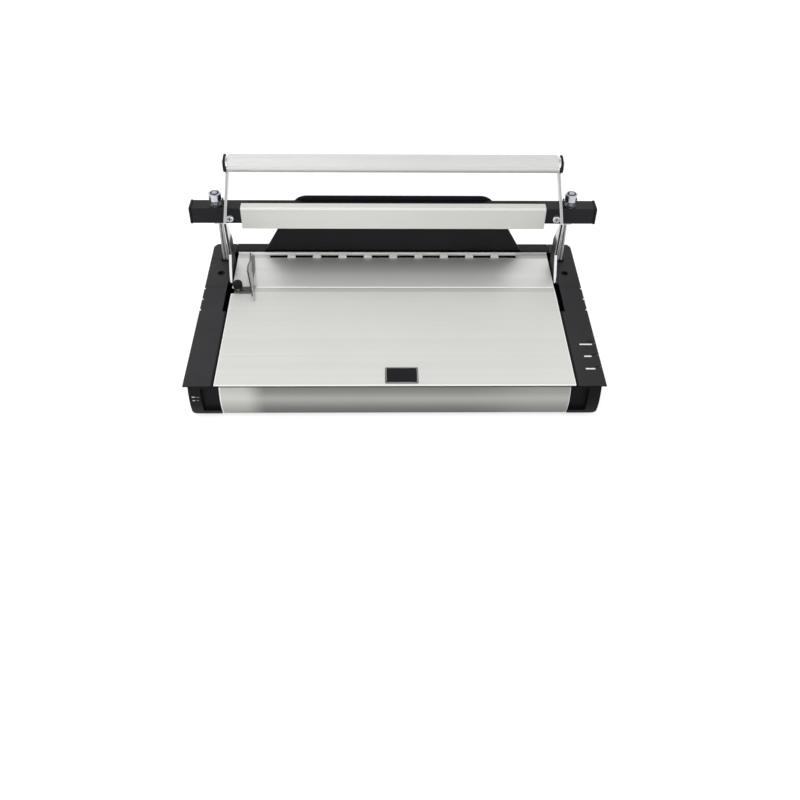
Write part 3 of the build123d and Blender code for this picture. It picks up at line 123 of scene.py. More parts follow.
LAMP_TARGET = (0, 0, 0.05)    # metres
LAMPS = (    # name, place and side in metres, watts
    ("overhead softbox", (-0.25, -0.35, 1.7), 1.6, 13.0),
    ("front softbox", (-0.2, -1.5, 1.15), 1.3, 13.0),
    ("side softbox", (1.3, -0.7, 0.9), 1.0, 2.5),
)


def set_camera():
    """Camera above the operator's head, looking down at the table."""
    turn, down, roll = (math.radians(a) for a in (CAMERA_TURN, CAMERA_DOWN, CAMERA_ROLL))
    forward = Vector((math.sin(turn) * math.cos(down),
                      math.cos(turn) * math.cos(down),
                      -math.sin(down)))
    right = Vector((math.cos(turn), -math.sin(turn), 0.0))
    up = right.cross(forward)
    axes = Matrix((
        math.cos(roll) * right + math.sin(roll) * up,
        -math.sin(roll) * right + math.cos(roll) * up,
        -forward,
    )).transposed()
    data = bpy.data.cameras.new("camera")
    data.sensor_width = SENSOR_WIDTH
    data.lens = CAMERA_LENS
    data.clip_start = 0.01
    camera = bpy.data.objects.new("camera", data)
    camera.matrix_world = Matrix.Translation(CAMERA_PLACE) @ axes.to_4x4()
    bpy.context.scene.collection.objects.link(camera)
    bpy.context.scene.camera = camera


def set_world():
    """White surroundings: full for the camera, softer as light, with a dim top in reflections."""
    world = bpy.data.worlds.new("studio")
    world.use_nodes = True
    bpy.context.scene.world = world
    tree = world.node_tree
    tree.nodes.clear()

    def sky(strength):
        inputs = {"Color": WHITE, "Strength": strength}
        return add_node(tree, "ShaderNodeBackground", inputs).outputs[0]

    direction = add_node(tree, "ShaderNodeTexCoord").outputs["Generated"]
    upward = add_node(tree, "ShaderNodeSeparateXYZ", {"Vector": direction}).outputs["Z"]
    mirrored = add_node(tree, "ShaderNodeMapRange", {
        "Value": upward,
        "From Min": CEILING_START, "From Max": CEILING_FULL,
        "To Min": SKY_SEEN, "To Max": CEILING_STRENGTH,
    }).outputs["Result"]
    ray = add_node(tree, "ShaderNodeLightPath").outputs
    lit = add_node(tree, "ShaderNodeMixShader",
                   {0: ray["Is Glossy Ray"], 1: sky(SKY_ON_MACHINE), 2: sky(mirrored)})
    seen = add_node(tree, "ShaderNodeMixShader",
                    {0: ray["Is Camera Ray"], 1: lit.outputs[0], 2: sky(SKY_SEEN)})
    add_node(tree, "ShaderNodeOutputWorld", {"Surface": seen.outputs[0]})


def add_floor():
    """Pale table top under the machine; it keeps the machine's shadow."""
    deselect_all()
    bpy.ops.mesh.primitive_plane_add(size=FLOOR_SIDE, location=(0, 0, 0))
    floor = bpy.context.object
    floor.name = "floor"
    paint = bpy.data.materials.new("pale floor")
    paint.use_nodes = True
    tree = paint.node_tree
    shader = tree.nodes["Principled BSDF"]
    shader.inputs["Base Color"].default_value = FLOOR_GREY
    shader.inputs["Roughness"].default_value = 0.9
    shader.inputs["Specular IOR Level"].default_value = 0.1
    ray = add_node(tree, "ShaderNodeLightPath").outputs
    seen = math_node(tree, "ADD", ray["Is Camera Ray"], ray["Is Glossy Ray"], clamp=True)
    strength = math_node(tree, "MULTIPLY", seen, FLOOR_GLOW)
    glow = add_node(tree, "ShaderNodeEmission", {"Color": WHITE, "Strength": strength})
    both = add_node(tree, "ShaderNodeAddShader", {0: shader.outputs[0], 1: glow.outputs[0]})
    tree.links.new(both.outputs[0], tree.nodes["Material Output"].inputs["Surface"])
    floor.data.materials.append(paint)


def add_lamp(name, place, side, watts):
    """Soft square lamp turned to the machine and left out of reflections."""
    data = bpy.data.lights.new(name, "AREA")
    data.shape = "SQUARE"
    data.size = side
    data.energy = watts
    lamp = bpy.data.objects.new(name, data)
    lamp.location = place
    aim = Vector(LAMP_TARGET) - Vector(place)
    lamp.rotation_euler = aim.to_track_quat("-Z", "Y").to_euler()
    lamp.visible_glossy = False
    bpy.context.scene.collection.objects.link(lamp)


set_camera()
set_world()
add_floor()
for lamp in LAMPS:
    add_lamp(*lamp)


# ---- shared effects ----------------------------------------------------------------------------
FLOAT, VECTOR = "NodeSocketFloat", "NodeSocketVector"


def new_group(name, inputs, outputs):
    """Shader node group: inputs are (name, kind, default or None), outputs are names of values."""
    tree = bpy.data.node_groups.new(name, "ShaderNodeTree")
    for label, kind, default in inputs:
        socket = tree.interface.new_socket(label, in_out="INPUT", socket_type=kind)
        if default is not None:
            socket.default_value = default
    for label in outputs:
        tree.interface.new_socket(label, in_out="OUTPUT", socket_type=FLOAT)
    start = tree.nodes.new("NodeGroupInput").outputs
    end = tree.nodes.new("NodeGroupOutput").inputs
    return tree, start, end


def brushed_group():
    """Brush lines along X, in fine and wide streaks."""
    tree, start, end = new_group(
        "brush lines", [("Vector", VECTOR, None), ("Streaks", FLOAT, 0.5)], ["Tone", "Height"],
    )
    fine, wide, band = (
        noise_node(tree, stretched(tree, start["Vector"], along, across), 1.0, detail)
        for along, across, detail in ((9.0, 2600.0, 2.0), (1.2, 190.0, 3.0), (0.5, 42.0, 2.0))
    )
    streak, broad, line = (
        math_node(tree, "MULTIPLY", math_node(tree, "SUBTRACT", layer, 0.5), strength)
        for layer, strength in ((wide, start["Streaks"]), (band, start["Streaks"]), (fine, 0.35))
    )
    tone = math_node(tree, "ADD", math_node(tree, "ADD", streak, broad), line)
    tree.links.new(math_node(tree, "ADD", tone, 0.5, clamp=True), end["Tone"])
    tree.links.new(fine, end["Height"])
    return tree


def speckle_group():
    """Tiny bumps of textured paint or moulded plastic."""
    tree, start, end = new_group(
        "fine speckle", [("Vector", VECTOR, None), ("Scale", FLOAT, 1500.0)], ["Height", "Tone"],
    )
    grain = noise_node(tree, start["Vector"], start["Scale"], 2.0)
    slow_scale = math_node(tree, "MULTIPLY", start["Scale"], 0.02)
    slow = noise_node(tree, start["Vector"], slow_scale, 3.0)
    tree.links.new(grain, end["Height"])
    halves = (math_node(tree, "MULTIPLY", layer, 0.5) for layer in (grain, slow))
    tree.links.new(math_node(tree, "ADD", *halves), end["Tone"])
    return tree


def handling_group():
    """Faint smudges and dust from handling, as a mask."""
    tree, start, end = new_group(
        "handling marks", [("Vector", VECTOR, None), ("Scale", FLOAT, 14.0)], ["Mask"],
    )
    cloud = noise_node(tree, start["Vector"], start["Scale"], 6.0, 0.62)
    ramp = add_node(tree, "ShaderNodeMapRange",
                    {"Value": cloud, "From Min": 0.42, "From Max": 0.72})
    tree.links.new(ramp.outputs["Result"], end["Mask"])
    return tree


def zone_group():
    """Mask of a zone along one direction: it eases in from Start to Full, out from Fade to End."""
    tree, start, end = new_group(
        "zone",
        [("Vector", VECTOR, None), ("Direction", VECTOR, None), ("Start", FLOAT, 0.0),
         ("Full", FLOAT, 0.0), ("Fade", FLOAT, 0.0), ("End", FLOAT, 0.0)],
        ["Mask"],
    )
    along = add_node(tree, "ShaderNodeVectorMath", {0: start["Vector"], 1: start["Direction"]},
                     operation="DOT_PRODUCT").outputs["Value"]
    rise, fall = (
        add_node(tree, "ShaderNodeMapRange",
                 {"Value": along, "From Min": start[outer], "From Max": start[inner]},
                 interpolation_type="SMOOTHSTEP").outputs["Result"]
        for outer, inner in (("Start", "Full"), ("End", "Fade"))
    )
    tree.links.new(math_node(tree, "MINIMUM", rise, fall), end["Mask"])
    return tree


BRUSHED = brushed_group()
SPECKLE = speckle_group()
HANDLING = handling_group()
ZONE = zone_group()


# ---- finishes ----------------------------------------------------------------------------------
AXES = {"X": (1, 0, 0), "Y": (0, 1, 0), "Z": (0, 0, 1)}
NO_FALL = (1e6, 1e6 - 1000)      # mm, far past the machine


def onward(axis, start, full, colour, amount=1.0):
    """Zone that eases in from start to full, in mm, and goes on past the machine."""
    return axis, (start, full), NO_FALL, colour, amount


def stripe(axis, start, end, ease, colour, amount=1.0):
    """Zone from start to end, in mm, eased over the same width at both."""
    return axis, (start, start + ease), (end, end - ease), colour, amount


def scaled(colour, factor):
    """A colour times a factor."""
    return tuple(c * factor for c in colour)


class Finish:
    """A material with its Principled shader and helpers that hang shared effects on it."""

    def __init__(self, name, metallic=0.0, roughness=0.5, specular=0.5):
        self.material = bpy.data.materials.new(name)
        self.material.use_nodes = True
        self.tree = self.material.node_tree
        self.shader = self.tree.nodes["Principled BSDF"]
        self.shader.inputs["Metallic"].default_value = metallic
        self.shader.inputs["Roughness"].default_value = roughness
        self.shader.inputs["Specular IOR Level"].default_value = specular
        self.coords = add_node(self.tree, "ShaderNodeTexCoord").outputs["Object"]

    def group(self, shared, **values):
        """A shared effect on this material's object coordinates; gives its outputs."""
        node = add_node(self.tree, "ShaderNodeGroup", node_tree=shared)
        self.tree.links.new(self.coords, node.inputs["Vector"])
        for label, value in values.items():
            node.inputs[label].default_value = value
        return node.outputs

    def ramp(self, value, stops):
        """Colour ramp: stops are (place, colour)."""
        node = add_node(self.tree, "ShaderNodeValToRGB", {"Fac": value})
        while len(node.color_ramp.elements) < len(stops):
            node.color_ramp.elements.new(0.5)
        for element, (place, colour) in zip(node.color_ramp.elements, stops):
            element.position = place
            element.color = (*colour, 1.0)
        return node.outputs["Color"]

    def spread(self, value, low, high):
        """A 0 to 1 value spread between two limits."""
        inputs = {"Value": value, "To Min": low, "To Max": high}
        return add_node(self.tree, "ShaderNodeMapRange", inputs).outputs["Result"]

    def combine(self, operation, a, b):
        """Two masks or numbers put together by one operation."""
        return math_node(self.tree, operation, a, b)

    def zone(self, axis, rise, fall=NO_FALL):
        """Mask along one axis: rise is (start, full) and fall is (end, fade), all in mm."""
        return self.group(
            ZONE, Direction=AXES[axis],
            Start=rise[0] * MM, Full=rise[1] * MM, Fade=fall[1] * MM, End=fall[0] * MM,
        )["Mask"]

    def mixed(self, mask, first, second):
        """The first colour, and the second where the mask is high."""
        inputs = {"Factor": mask, "A": first, "B": second}
        return add_node(self.tree, "ShaderNodeMix", inputs, data_type="RGBA").outputs["Result"]

    def tint(self, tone, mask, colour, amount):
        """A tone taken towards a colour by some amount where the mask is high."""
        return self.mixed(self.combine("MULTIPLY", mask, amount), tone, (*colour, 1.0))

    def tint_zones(self, tone, zones):
        """A tone with the colour of each zone laid over it in turn."""
        for axis, rise, fall, colour, amount in zones:
            tone = self.tint(tone, self.zone(axis, rise, fall), colour, amount)
        return tone

    def colour(self, socket):
        self.tree.links.new(socket, self.shader.inputs["Base Color"])

    def metallic(self, socket):
        self.tree.links.new(socket, self.shader.inputs["Metallic"])

    def roughness(self, socket):
        self.tree.links.new(socket, self.shader.inputs["Roughness"])

    def bump(self, height, strength, distance):
        inputs = {"Height": height, "Strength": strength, "Distance": distance}
        node = add_node(self.tree, "ShaderNodeBump", inputs)
        self.tree.links.new(node.outputs[0], self.shader.inputs["Normal"])


def brushed_metal(name, light, dark, streaks=0.5, metallic=0.4, zones=()):
    """Sheet or bar metal brushed along X; zones come from onward and stripe."""
    finish = Finish(name, metallic=metallic)
    lines = finish.group(BRUSHED, Streaks=streaks)
    marks = finish.group(HANDLING, Scale=11.0)["Mask"]
    tone = finish.ramp(lines["Tone"], [(0.2, dark), (0.8, light)])
    tone = finish.tint(tone, marks, scaled(dark, 0.92), 0.2)
    finish.colour(finish.tint_zones(tone, zones))
    finish.roughness(finish.spread(lines["Tone"], 0.54, 0.42))
    finish.bump(lines["Height"], 0.1, 0.0002)
    return finish.material


def rear_sheet(name, light, dark, highlight_tone):
    """Rolled sheet round the pin windows: it mirrors more than the front panel.

    The row of windows, the rim at the back and the joint at the front are matt and carry a painted
    highlight. Painted shade from the backstop darkens the sheet towards the middle of the row, and
    darker painted bands dim its back edge and the ends of the row, more so on the right.
    """
    finish = Finish(name)
    lines = finish.group(BRUSHED, Streaks=0.4)
    tone = finish.ramp(lines["Tone"], [(0.2, dark), (0.8, light)])
    # The row, rim and joint are matt, and also carry the painted highlight.
    row = finish.combine("MULTIPLY", finish.zone("Y", (86.6, 87.0), (92.1, 91.7)),
                         finish.zone("X", (-138.5, -138.0), (138.5, 138.0)))
    rim = finish.zone("Y", (93.8, 94.2))
    joint = finish.zone("Y", (34.4, 33.8))
    matt = finish.combine("MAXIMUM", row, finish.combine("MAXIMUM", rim, joint))
    # Painted shade from the black backstop, towards the middle of the row.
    backstop_shade = finish.combine("MULTIPLY", finish.zone("Y", (50, 84)),
                            finish.zone("X", (-150, -105), (165, 125)))
    tone = finish.tint(tone, backstop_shade, scaled(dark, 0.62), 0.8)
    tone = finish.tint(tone, matt, highlight_tone, 0.9)
    # Darker painted bands over the highlight: along the back edge and at the row's ends.
    for across, rise, fall, share in (
        ((-155, -125), (93.8, 94.2), NO_FALL, 0.76),           # the rim, all but its left end
        ((-138.0, -139.0), (86.0, 87.0), (93.8, 93.4), 0.7),   # left of the row
        ((137.5, 138.5), (85.5, 86.8), NO_FALL, 0.52),         # right of the row, with the rim
    ):
        dull = finish.combine("MULTIPLY", finish.zone("X", across), finish.zone("Y", rise, fall))
        tone = finish.tint(tone, dull, scaled(highlight_tone, share), 0.9)
    finish.colour(tone)
    finish.metallic(finish.spread(matt, 0.72, 0.1))
    rough = finish.spread(lines["Tone"], 0.5, 0.42)
    finish.roughness(finish.combine("ADD", rough, finish.combine("MULTIPLY", matt, 0.2)))
    finish.bump(lines["Height"], 0.08, 0.0002)
    return finish.material


def bowed_fascia(name, low, high, tones, end_tones):
    """Bowed brushed strip with painted reflections: a soft light band along it, a lighter left end
    and a lighter right part, and painted highlights on its cut ends.

    Both lists of tones are (height, grey) from the bottom up, between the heights low and high.
    """
    finish = Finish(name, metallic=0.35)
    lines = finish.group(BRUSHED, Streaks=0.3)
    place = add_node(finish.tree, "ShaderNodeSeparateXYZ", {"Vector": finish.coords}).outputs
    height = add_node(finish.tree, "ShaderNodeMapRange", {
        "Value": place["Z"], "From Min": low * MM, "From Max": high * MM,
    }).outputs["Result"]
    # The painted reflection's tones by height, along the strip and at its left end.
    middle, end = (
        finish.ramp(height, [((z - low) / (high - low), (t, t, t * 0.95)) for z, t in stops])
        for stops in (tones, end_tones)
    )
    # Painted reflections: a lighter left end, then a lighter right part.
    tone = finish.mixed(finish.zone("X", (-124, -147)), middle, end)
    tone = finish.tint(tone, finish.zone("X", (60, 150)), (0.5, 0.5, 0.48), 0.25)
    tone = finish.tint(tone, lines["Tone"], (0.3, 0.3, 0.28), 0.1)
    # Painted highlights on both cut ends.
    finish.colour(finish.tint_zones(tone, (
        onward("X", -167.6, -168.0, (0.9, 0.9, 0.9), 0.8),
        onward("X", 167.9, 168.3, (0.8, 0.8, 0.8), 0.5),
    )))
    finish.roughness(finish.spread(lines["Tone"], 0.5, 0.4))
    finish.bump(lines["Height"], 0.1, 0.0002)
    return finish.material


def plated_metal(name, light, dark, rough, bump=0.04, metallic=1.0, zones=()):
    """Chrome or zinc plate with faint clouding; zones as for brushed_metal."""
    finish = Finish(name, metallic=metallic)
    marks = finish.group(HANDLING, Scale=60.0)["Mask"]
    speck = finish.group(SPECKLE, Scale=900.0)
    tone = finish.ramp(marks, [(0.0, light), (1.0, dark)])
    finish.colour(finish.tint_zones(tone, zones))
    finish.roughness(finish.spread(marks, *rough))
    finish.bump(speck["Height"], bump, 0.0001)
    return finish.material


def chrome_side(name, chrome, dull, heights):
    """Flat side of an arm: polished above; where it runs down into its slot, dull and dark with a
    painted reflection of the black covers.
    """
    finish = Finish(name, specular=0.05)
    marks = finish.group(HANDLING, Scale=60.0)["Mask"]
    low = finish.zone("Z", heights)
    tone = finish.ramp(marks, [(0.0, chrome), (1.0, scaled(chrome, 0.85))])
    # Painted dark reflection on the low part.
    finish.colour(finish.tint(tone, low, dull, 1.0))
    finish.metallic(finish.spread(low, 1.0, 0.0))
    finish.roughness(finish.spread(low, 0.08, 0.45))
    return finish.material


THREAD_SCALE = 314.0      # of the wave texture: one turn to the millimetre


def threaded_metal(name, light, dark):
    """Zinc plated rod with a fine thread in its bump."""
    finish = Finish(name, metallic=1.0)
    marks = finish.group(HANDLING, Scale=80.0)["Mask"]
    finish.colour(finish.ramp(marks, [(0.0, light), (1.0, dark)]))
    finish.roughness(finish.spread(marks, 0.22, 0.36))
    turns = add_node(finish.tree, "ShaderNodeTexWave",
                     {"Vector": finish.coords, "Scale": THREAD_SCALE}, bands_direction="Z")
    finish.bump(turns.outputs["Fac"], 0.8, 0.0004)
    return finish.material


def black_coat(name, light, dark, rough=(0.42, 0.6), scale=1500.0, bump=0.2, specular=0.25,
               zones=(), glints=()):
    """Black paint or plastic with a fine grain; zones as for brushed_metal.

    Glints are painted highlights on an upright face: (x, z, half width, half height, amount).
    """
    finish = Finish(name, specular=specular)
    speck = finish.group(SPECKLE, Scale=scale)
    marks = finish.group(HANDLING, Scale=16.0)["Mask"]
    tone = finish.ramp(speck["Tone"], [(0.3, dark), (0.7, light)])
    tone = finish.tint(tone, marks, scaled(light, 1.5), 0.25)
    tone = finish.tint_zones(tone, zones)
    # Painted glints.
    for x, z, wide, high, amount in glints:
        toned = finish.combine("MULTIPLY", *(
            finish.zone(axis, (at - half, at - half * 0.4), (at + half, at + half * 0.4))
            for axis, at, half in (("X", x, wide), ("Z", z, high))
        ))
        tone = finish.tint(tone, toned, (0.6, 0.6, 0.61), amount)
    finish.colour(tone)
    finish.roughness(finish.spread(marks, *rough))
    finish.bump(speck["Height"], bump, 0.0002)
    return finish.material


def clear_lens(name):
    """Clear moulded lens over a lamp that is off."""
    finish = Finish(name, roughness=0.12)
    speck = finish.group(SPECKLE, Scale=700.0)
    finish.colour(finish.ramp(speck["Tone"], [(0.2, (0.03,) * 3), (0.8, (0.06,) * 3)]))
    finish.shader.inputs["Transmission Weight"].default_value = 0.35
    finish.bump(speck["Height"], 0.1, 0.0001)
    return finish.material


def mark_paint(name, light, dark):
    """Matt printed paint, a little uneven."""
    finish = Finish(name, roughness=0.6, specular=0.3)
    speck = finish.group(SPECKLE, Scale=1200.0)
    finish.colour(finish.ramp(speck["Tone"], [(0.2, dark), (0.8, light)]))
    finish.bump(speck["Height"], 0.1, 0.0001)
    return finish.material


# The finish of each of the record's material slots that a node takes its look from. Most are made
# from a light tone and a dark one.
FINISHES = {
    # Painted shade: the press sheet grows darker from left to right.
    "press_sheet": brushed_metal(
        "brushed press sheet", (0.75, 0.75, 0.725), (0.68, 0.68, 0.655),
        streaks=0.25, metallic=0.3, zones=[onward("X", -70, 120, (0.64, 0.64, 0.615), 0.8)],
    ),
    # Painted reflections: the tones by height paint a light band across the bow, the end tones a
    # lighter left end.
    "silver_fascia": bowed_fascia(
        "brushed fascia", 4.5, 39.5,
        [(7, 0.095), (14, 0.16), (21.9, 0.28), (25, 0.34), (28, 0.36), (31, 0.3),
         (34.5, 0.225), (39, 0.165)],
        [(7, 0.36), (14, 0.42), (21.9, 0.52), (28, 0.6), (32, 0.56), (39, 0.45)],
    ),
    # Painted shade: the grip grows darker from left to right.
    "grip_aluminium": brushed_metal(
        "extruded grip", (0.79, 0.79, 0.78), (0.69, 0.69, 0.68),
        streaks=0.6, metallic=0.45, zones=[onward("X", -130, 40, (0.66, 0.66, 0.645), 0.8)],
    ),
    "heater_aluminium": brushed_metal("milled heater bar", (0.5, 0.5, 0.5), (0.4, 0.4, 0.4)),
    "black_steel": black_coat(
        "powder coated tray", (0.022, 0.022, 0.024), (0.014, 0.014, 0.016),
    ),
    "black_paint": black_coat(
        "textured black paint", (0.027, 0.027, 0.029), (0.016, 0.016, 0.018), bump=0.3,
    ),
    # Painted shade: the plate is near black at its foot, along the table.
    "backstop_black": black_coat(
        "smooth black plate", (0.0125, 0.0125, 0.0145), (0.0085, 0.0085, 0.0095),
        rough=(0.4, 0.52), bump=0.08, specular=0.15,
        zones=[onward("Z", 53.0, 52.2, (0.001, 0.001, 0.001))],
    ),
    "zinc_steel": plated_metal(
        "zinc plate", (0.58, 0.59, 0.61), (0.44, 0.45, 0.48), (0.22, 0.38),
    ),
    "nut_zinc": plated_metal(
        "bright zinc", (0.64, 0.66, 0.70), (0.44, 0.46, 0.52), (0.14, 0.3),
    ),
    "dark_screws": plated_metal(
        "black oxide", (0.1, 0.1, 0.11), (0.05, 0.05, 0.055), (0.3, 0.45),
    ),
    "spring_steel": plated_metal(
        "drawn wire", (0.42, 0.42, 0.44), (0.3, 0.3, 0.32), (0.25, 0.4),
    ),
    "arm_chrome": plated_metal(
        "polished chrome", (0.88, 0.885, 0.9), (0.78, 0.785, 0.8), (0.035, 0.08), bump=0.01,
    ),
    "fence_chrome": plated_metal(
        "chromed thin sheet", (0.62, 0.62, 0.62), (0.5, 0.5, 0.51), (0.2, 0.32),
    ),
    "bronze": plated_metal(
        "sintered bronze", (0.55, 0.4, 0.2), (0.4, 0.28, 0.13), (0.35, 0.5),
    ),
    "rubber": black_coat(
        "matt rubber", (0.02, 0.02, 0.021), (0.012, 0.012, 0.013),
        rough=(0.75, 0.9), specular=0.2,
    ),
    "black_nylon": black_coat(
        "matt nylon", (0.010, 0.010, 0.011), (0.006, 0.006, 0.007),
        rough=(0.6, 0.75), scale=900.0, specular=0.12,
    ),
    "blue_nylon": black_coat(
        "blue nylon ring", (0.010, 0.012, 0.06), (0.006, 0.008, 0.04), rough=(0.35, 0.5),
    ),
    "black_plastic": black_coat(
        "satin black plastic", (0.011, 0.011, 0.012), (0.006, 0.006, 0.007),
        rough=(0.4, 0.52), scale=1100.0, bump=0.12, specular=0.12,
    ),
    "label_black": black_coat(
        "label foil", (0.008, 0.008, 0.0095), (0.005, 0.005, 0.0065),
        rough=(0.34, 0.44), bump=0.05, specular=0.12,
    ),
    "insulator_board": black_coat(
        "fibre board", (0.36, 0.28, 0.2), (0.26, 0.2, 0.14), rough=(0.7, 0.85),
    ),
    "board_green": black_coat(
        "green circuit board", (0.03, 0.17, 0.07), (0.02, 0.12, 0.05), rough=(0.35, 0.5),
    ),
    "component_black": black_coat(
        "moulded component", (0.05, 0.05, 0.06), (0.03, 0.03, 0.036),
    ),
    "lens": clear_lens("clear lens"),
}

# Finishes of single nodes and of chosen faces.
# Painted highlight along cut edges.
EDGE_HIGHLIGHT = (0.92, 0.92, 0.90)
# Painted shade in pressed grooves.
GROOVE_SHADE = (0.6, 0.6, 0.58)
# Painted shade in the folds across the side covers.
FOLD_SHADE = (0.004, 0.004, 0.0045)

FRONT_SHEET = brushed_metal(
    "brushed front panel", (0.74, 0.74, 0.715), (0.66, 0.66, 0.635),
    zones=[
        onward("Y", 23.2, 23.8, (0.56, 0.56, 0.53), 0.8),    # painted shade on the slope down to the rear panel
        # Painted shade in the two pressed grooves.
        stripe("Y", -8.6, -7.6, 0.4, GROOVE_SHADE, 0.5),
        stripe("Y", -79.3, -78.1, 0.4, GROOVE_SHADE, 0.5),
        # Painted highlights along the panel's left, right and front edges.
        onward("X", -172.3, -172.7, EDGE_HIGHLIGHT),
        onward("X", 172.3, 172.7, EDGE_HIGHLIGHT),
        onward("Y", -119.5, -119.9, EDGE_HIGHLIGHT, 0.8),
    ],
)
# The last colour is the painted highlight on the row, rim and joint.
REAR_SHEET = rear_sheet(
    "rolled rear panel", (0.88, 0.88, 0.865), (0.79, 0.79, 0.775), (0.92, 0.92, 0.9),
)
REAR_STRIP = black_coat(
    "rear strip paint", (0.026, 0.026, 0.028), (0.016, 0.016, 0.018), bump=0.3, specular=0.08,
    zones=[
        # Painted shade towards the strip's front edge.
        onward("Y", 103.0, 98.5, (0.005, 0.005, 0.0055)),
        onward("Y", 99.0, 98.1, (0.0005, 0.0005, 0.0005)),   # painted shade, black along the seam against the rear panel
        onward("Y", 111.8, 112.4, (0.036, 0.036, 0.038)),    # the machine's rear face
    ],
)
COVER_BLACK = black_coat(
    "textured side cover paint", (0.027, 0.027, 0.029), (0.016, 0.016, 0.018),
    bump=0.3, specular=0.22,
    zones=[
        # Painted shade: the right cover is darker than the left.
        onward("X", 150, 210, (0.012, 0.012, 0.0135), 0.9),
        stripe("X", -176.6, 176.6, 0.6, (0.001, 0.001, 0.001)),    # painted shadow along the inner edges, beside the table
        # Painted shade along the two folds.
        stripe("Y", 82.6, 84.2, 0.6, FOLD_SHADE, 0.75),
        stripe("Y", 31.8, 33.4, 0.6, FOLD_SHADE, 0.6),
    ],
)
# Painted shade on the left front corner, a little lighter than the right, with two pairs of painted
# glints.
LEFT_CORNER_SHADE = black_coat(
    "painted shade on the left front corner", (0.008, 0.008, 0.009), (0.005, 0.005, 0.0058),
    rough=(0.45, 0.6), bump=0.1, specular=0.1,
    glints=[
        (-193.9, 30.4, 2.0, 0.9, 0.9), (-189.9, 30.2, 2.6, 0.6, 0.3),
        (-193.8, 26.1, 1.7, 0.9, 0.9), (-190.0, 26.2, 1.6, 0.8, 0.3),
    ],
)
# Painted shade black: the right front corner, the window walls, screws down in holes, cross
# recesses, lamp slots and screw rings.
SHADE_BLACK = black_coat(
    "painted shade black", (0.005, 0.005, 0.0058), (0.003, 0.003, 0.0036),
    rough=(0.45, 0.6), bump=0.1, specular=0.08,
)
# Painted shade: the tube is darker along its middle, behind the press cover.
TUBE_BLACK = black_coat(
    "black press tube behind the cover", (0.018, 0.018, 0.021), (0.011, 0.011, 0.013),
    rough=(0.4, 0.52), bump=0.1, specular=0.12,
    zones=[stripe("X", -160, 160, 6, (0.003, 0.003, 0.0035))],
)
POST_PLATE = plated_metal(
    "bright post plate", (0.8, 0.8, 0.81), (0.68, 0.68, 0.7), (0.2, 0.34), metallic=0.55,
)
SCREW_PLATE = plated_metal(
    "bright screw plate", (0.86, 0.9, 0.9), (0.7, 0.74, 0.75), (0.14, 0.3), metallic=0.6,
)
# The sliding foot is much darker on its outer part.
FOOT_GREY = plated_metal(
    "worn sliding foot", (0.62, 0.62, 0.62), (0.5, 0.5, 0.51), (0.2, 0.32), metallic=0.8,
    zones=[onward("X", -151.2, -152.2, (0.16, 0.155, 0.145), 0.95)],
)
EDGE_DARK = plated_metal(
    "shaded cut edge", (0.1, 0.1, 0.1), (0.05, 0.05, 0.05), (0.4, 0.5),
)
# The arms' flat sides: a painted dark reflection of the black covers low down.
ARM_SIDE = chrome_side("arm side", (0.5, 0.505, 0.52), (0.03, 0.03, 0.032), (92, 84))
TAB_BRIGHT = brushed_metal(
    "pale tabs between the windows", (0.9, 0.9, 0.87), (0.82, 0.82, 0.79),
    streaks=0.2, metallic=0.1,
)
WHITE_MARK = mark_paint("white mark paint", (0.82, 0.82, 0.81), (0.7, 0.7, 0.69))
THREADED = threaded_metal("threaded zinc", (0.5, 0.51, 0.54), (0.36, 0.37, 0.4))

NODE_FINISHES = {
    "adjusting_studs": THREADED,
    "front_table_panel": FRONT_SHEET,
    "rear_table_panel": REAR_SHEET,
    "rear_cover": REAR_STRIP,
    "press_tube": TUBE_BLACK,
    "side_cover_left": COVER_BLACK,
    "side_cover_right": COVER_BLACK,
    "guide_post_left": POST_PLATE,
    "guide_post_right": POST_PLATE,
    "tube_screws": SCREW_PLATE,
    # Painted shade: the stud washers take the black oxide finish because they sit in shadow.
    "stud_washers": FINISHES["dark_screws"],
    # Painted shade: the cover screws are black, down in their holes.
    "cover_screws": SHADE_BLACK,
}

for node, slot in SLOTS.items():
    materials = NODES[node].data.materials
    materials.clear()
    materials.append(NODE_FINISHES[node] if node in NODE_FINISHES else FINISHES[slot])


# ---- modelling helpers -------------------------------------------------------------------------
ROW_Y = 89.4217       # the middle of the row of pin windows
TABLE_Z = 49.0        # the table's height at that row
SLOPE = 7.3 / 210.0   # the table's fall to the front
TILT = (math.atan(SLOPE), 0, 0)

MERGE_DISTANCE = 0.004
FLAT_ANGLE = 0.6      # degrees; an edge flatter than this is dissolved
SHARP_ANGLE = 34.0    # degrees; an edge sharper than this is rounded
SMOOTH_ANGLE = 38.0   # degrees; an edge flatter than this is shaded smooth


def on_table(x, y, above):
    """Point over the sloped table: x and y from the window row, and a height above the table."""
    return Vector((x, y + ROW_Y, TABLE_Z + y * SLOPE + above)) * MM


def work_on(piece):
    """Only this piece is selected and active."""
    deselect_all()
    piece.select_set(True)
    bpy.context.view_layer.objects.active = piece


def edit_all(piece):
    """Edit mode with the whole piece selected."""
    work_on(piece)
    bpy.ops.object.mode_set(mode="EDIT")
    bpy.ops.mesh.select_all(action="SELECT")


def apply_modifiers(piece):
    """Apply all of the piece's modifiers in turn."""
    work_on(piece)
    for modifier in list(piece.modifiers):
        bpy.ops.object.modifier_apply(modifier=modifier.name)


def settle(piece):
    """Put the piece's place, turn and size into its mesh."""
    work_on(piece)
    bpy.ops.object.transform_apply(location=True, rotation=True, scale=True)


def row_of(piece, count, step):
    """Repeat a piece along X at a step, all in one mesh."""
    row = piece.modifiers.new("row", "ARRAY")
    row.count = count
    row.use_relative_offset = False
    row.use_constant_offset = True
    row.constant_offset_displace = (step * MM, 0, 0)
    apply_modifiers(piece)


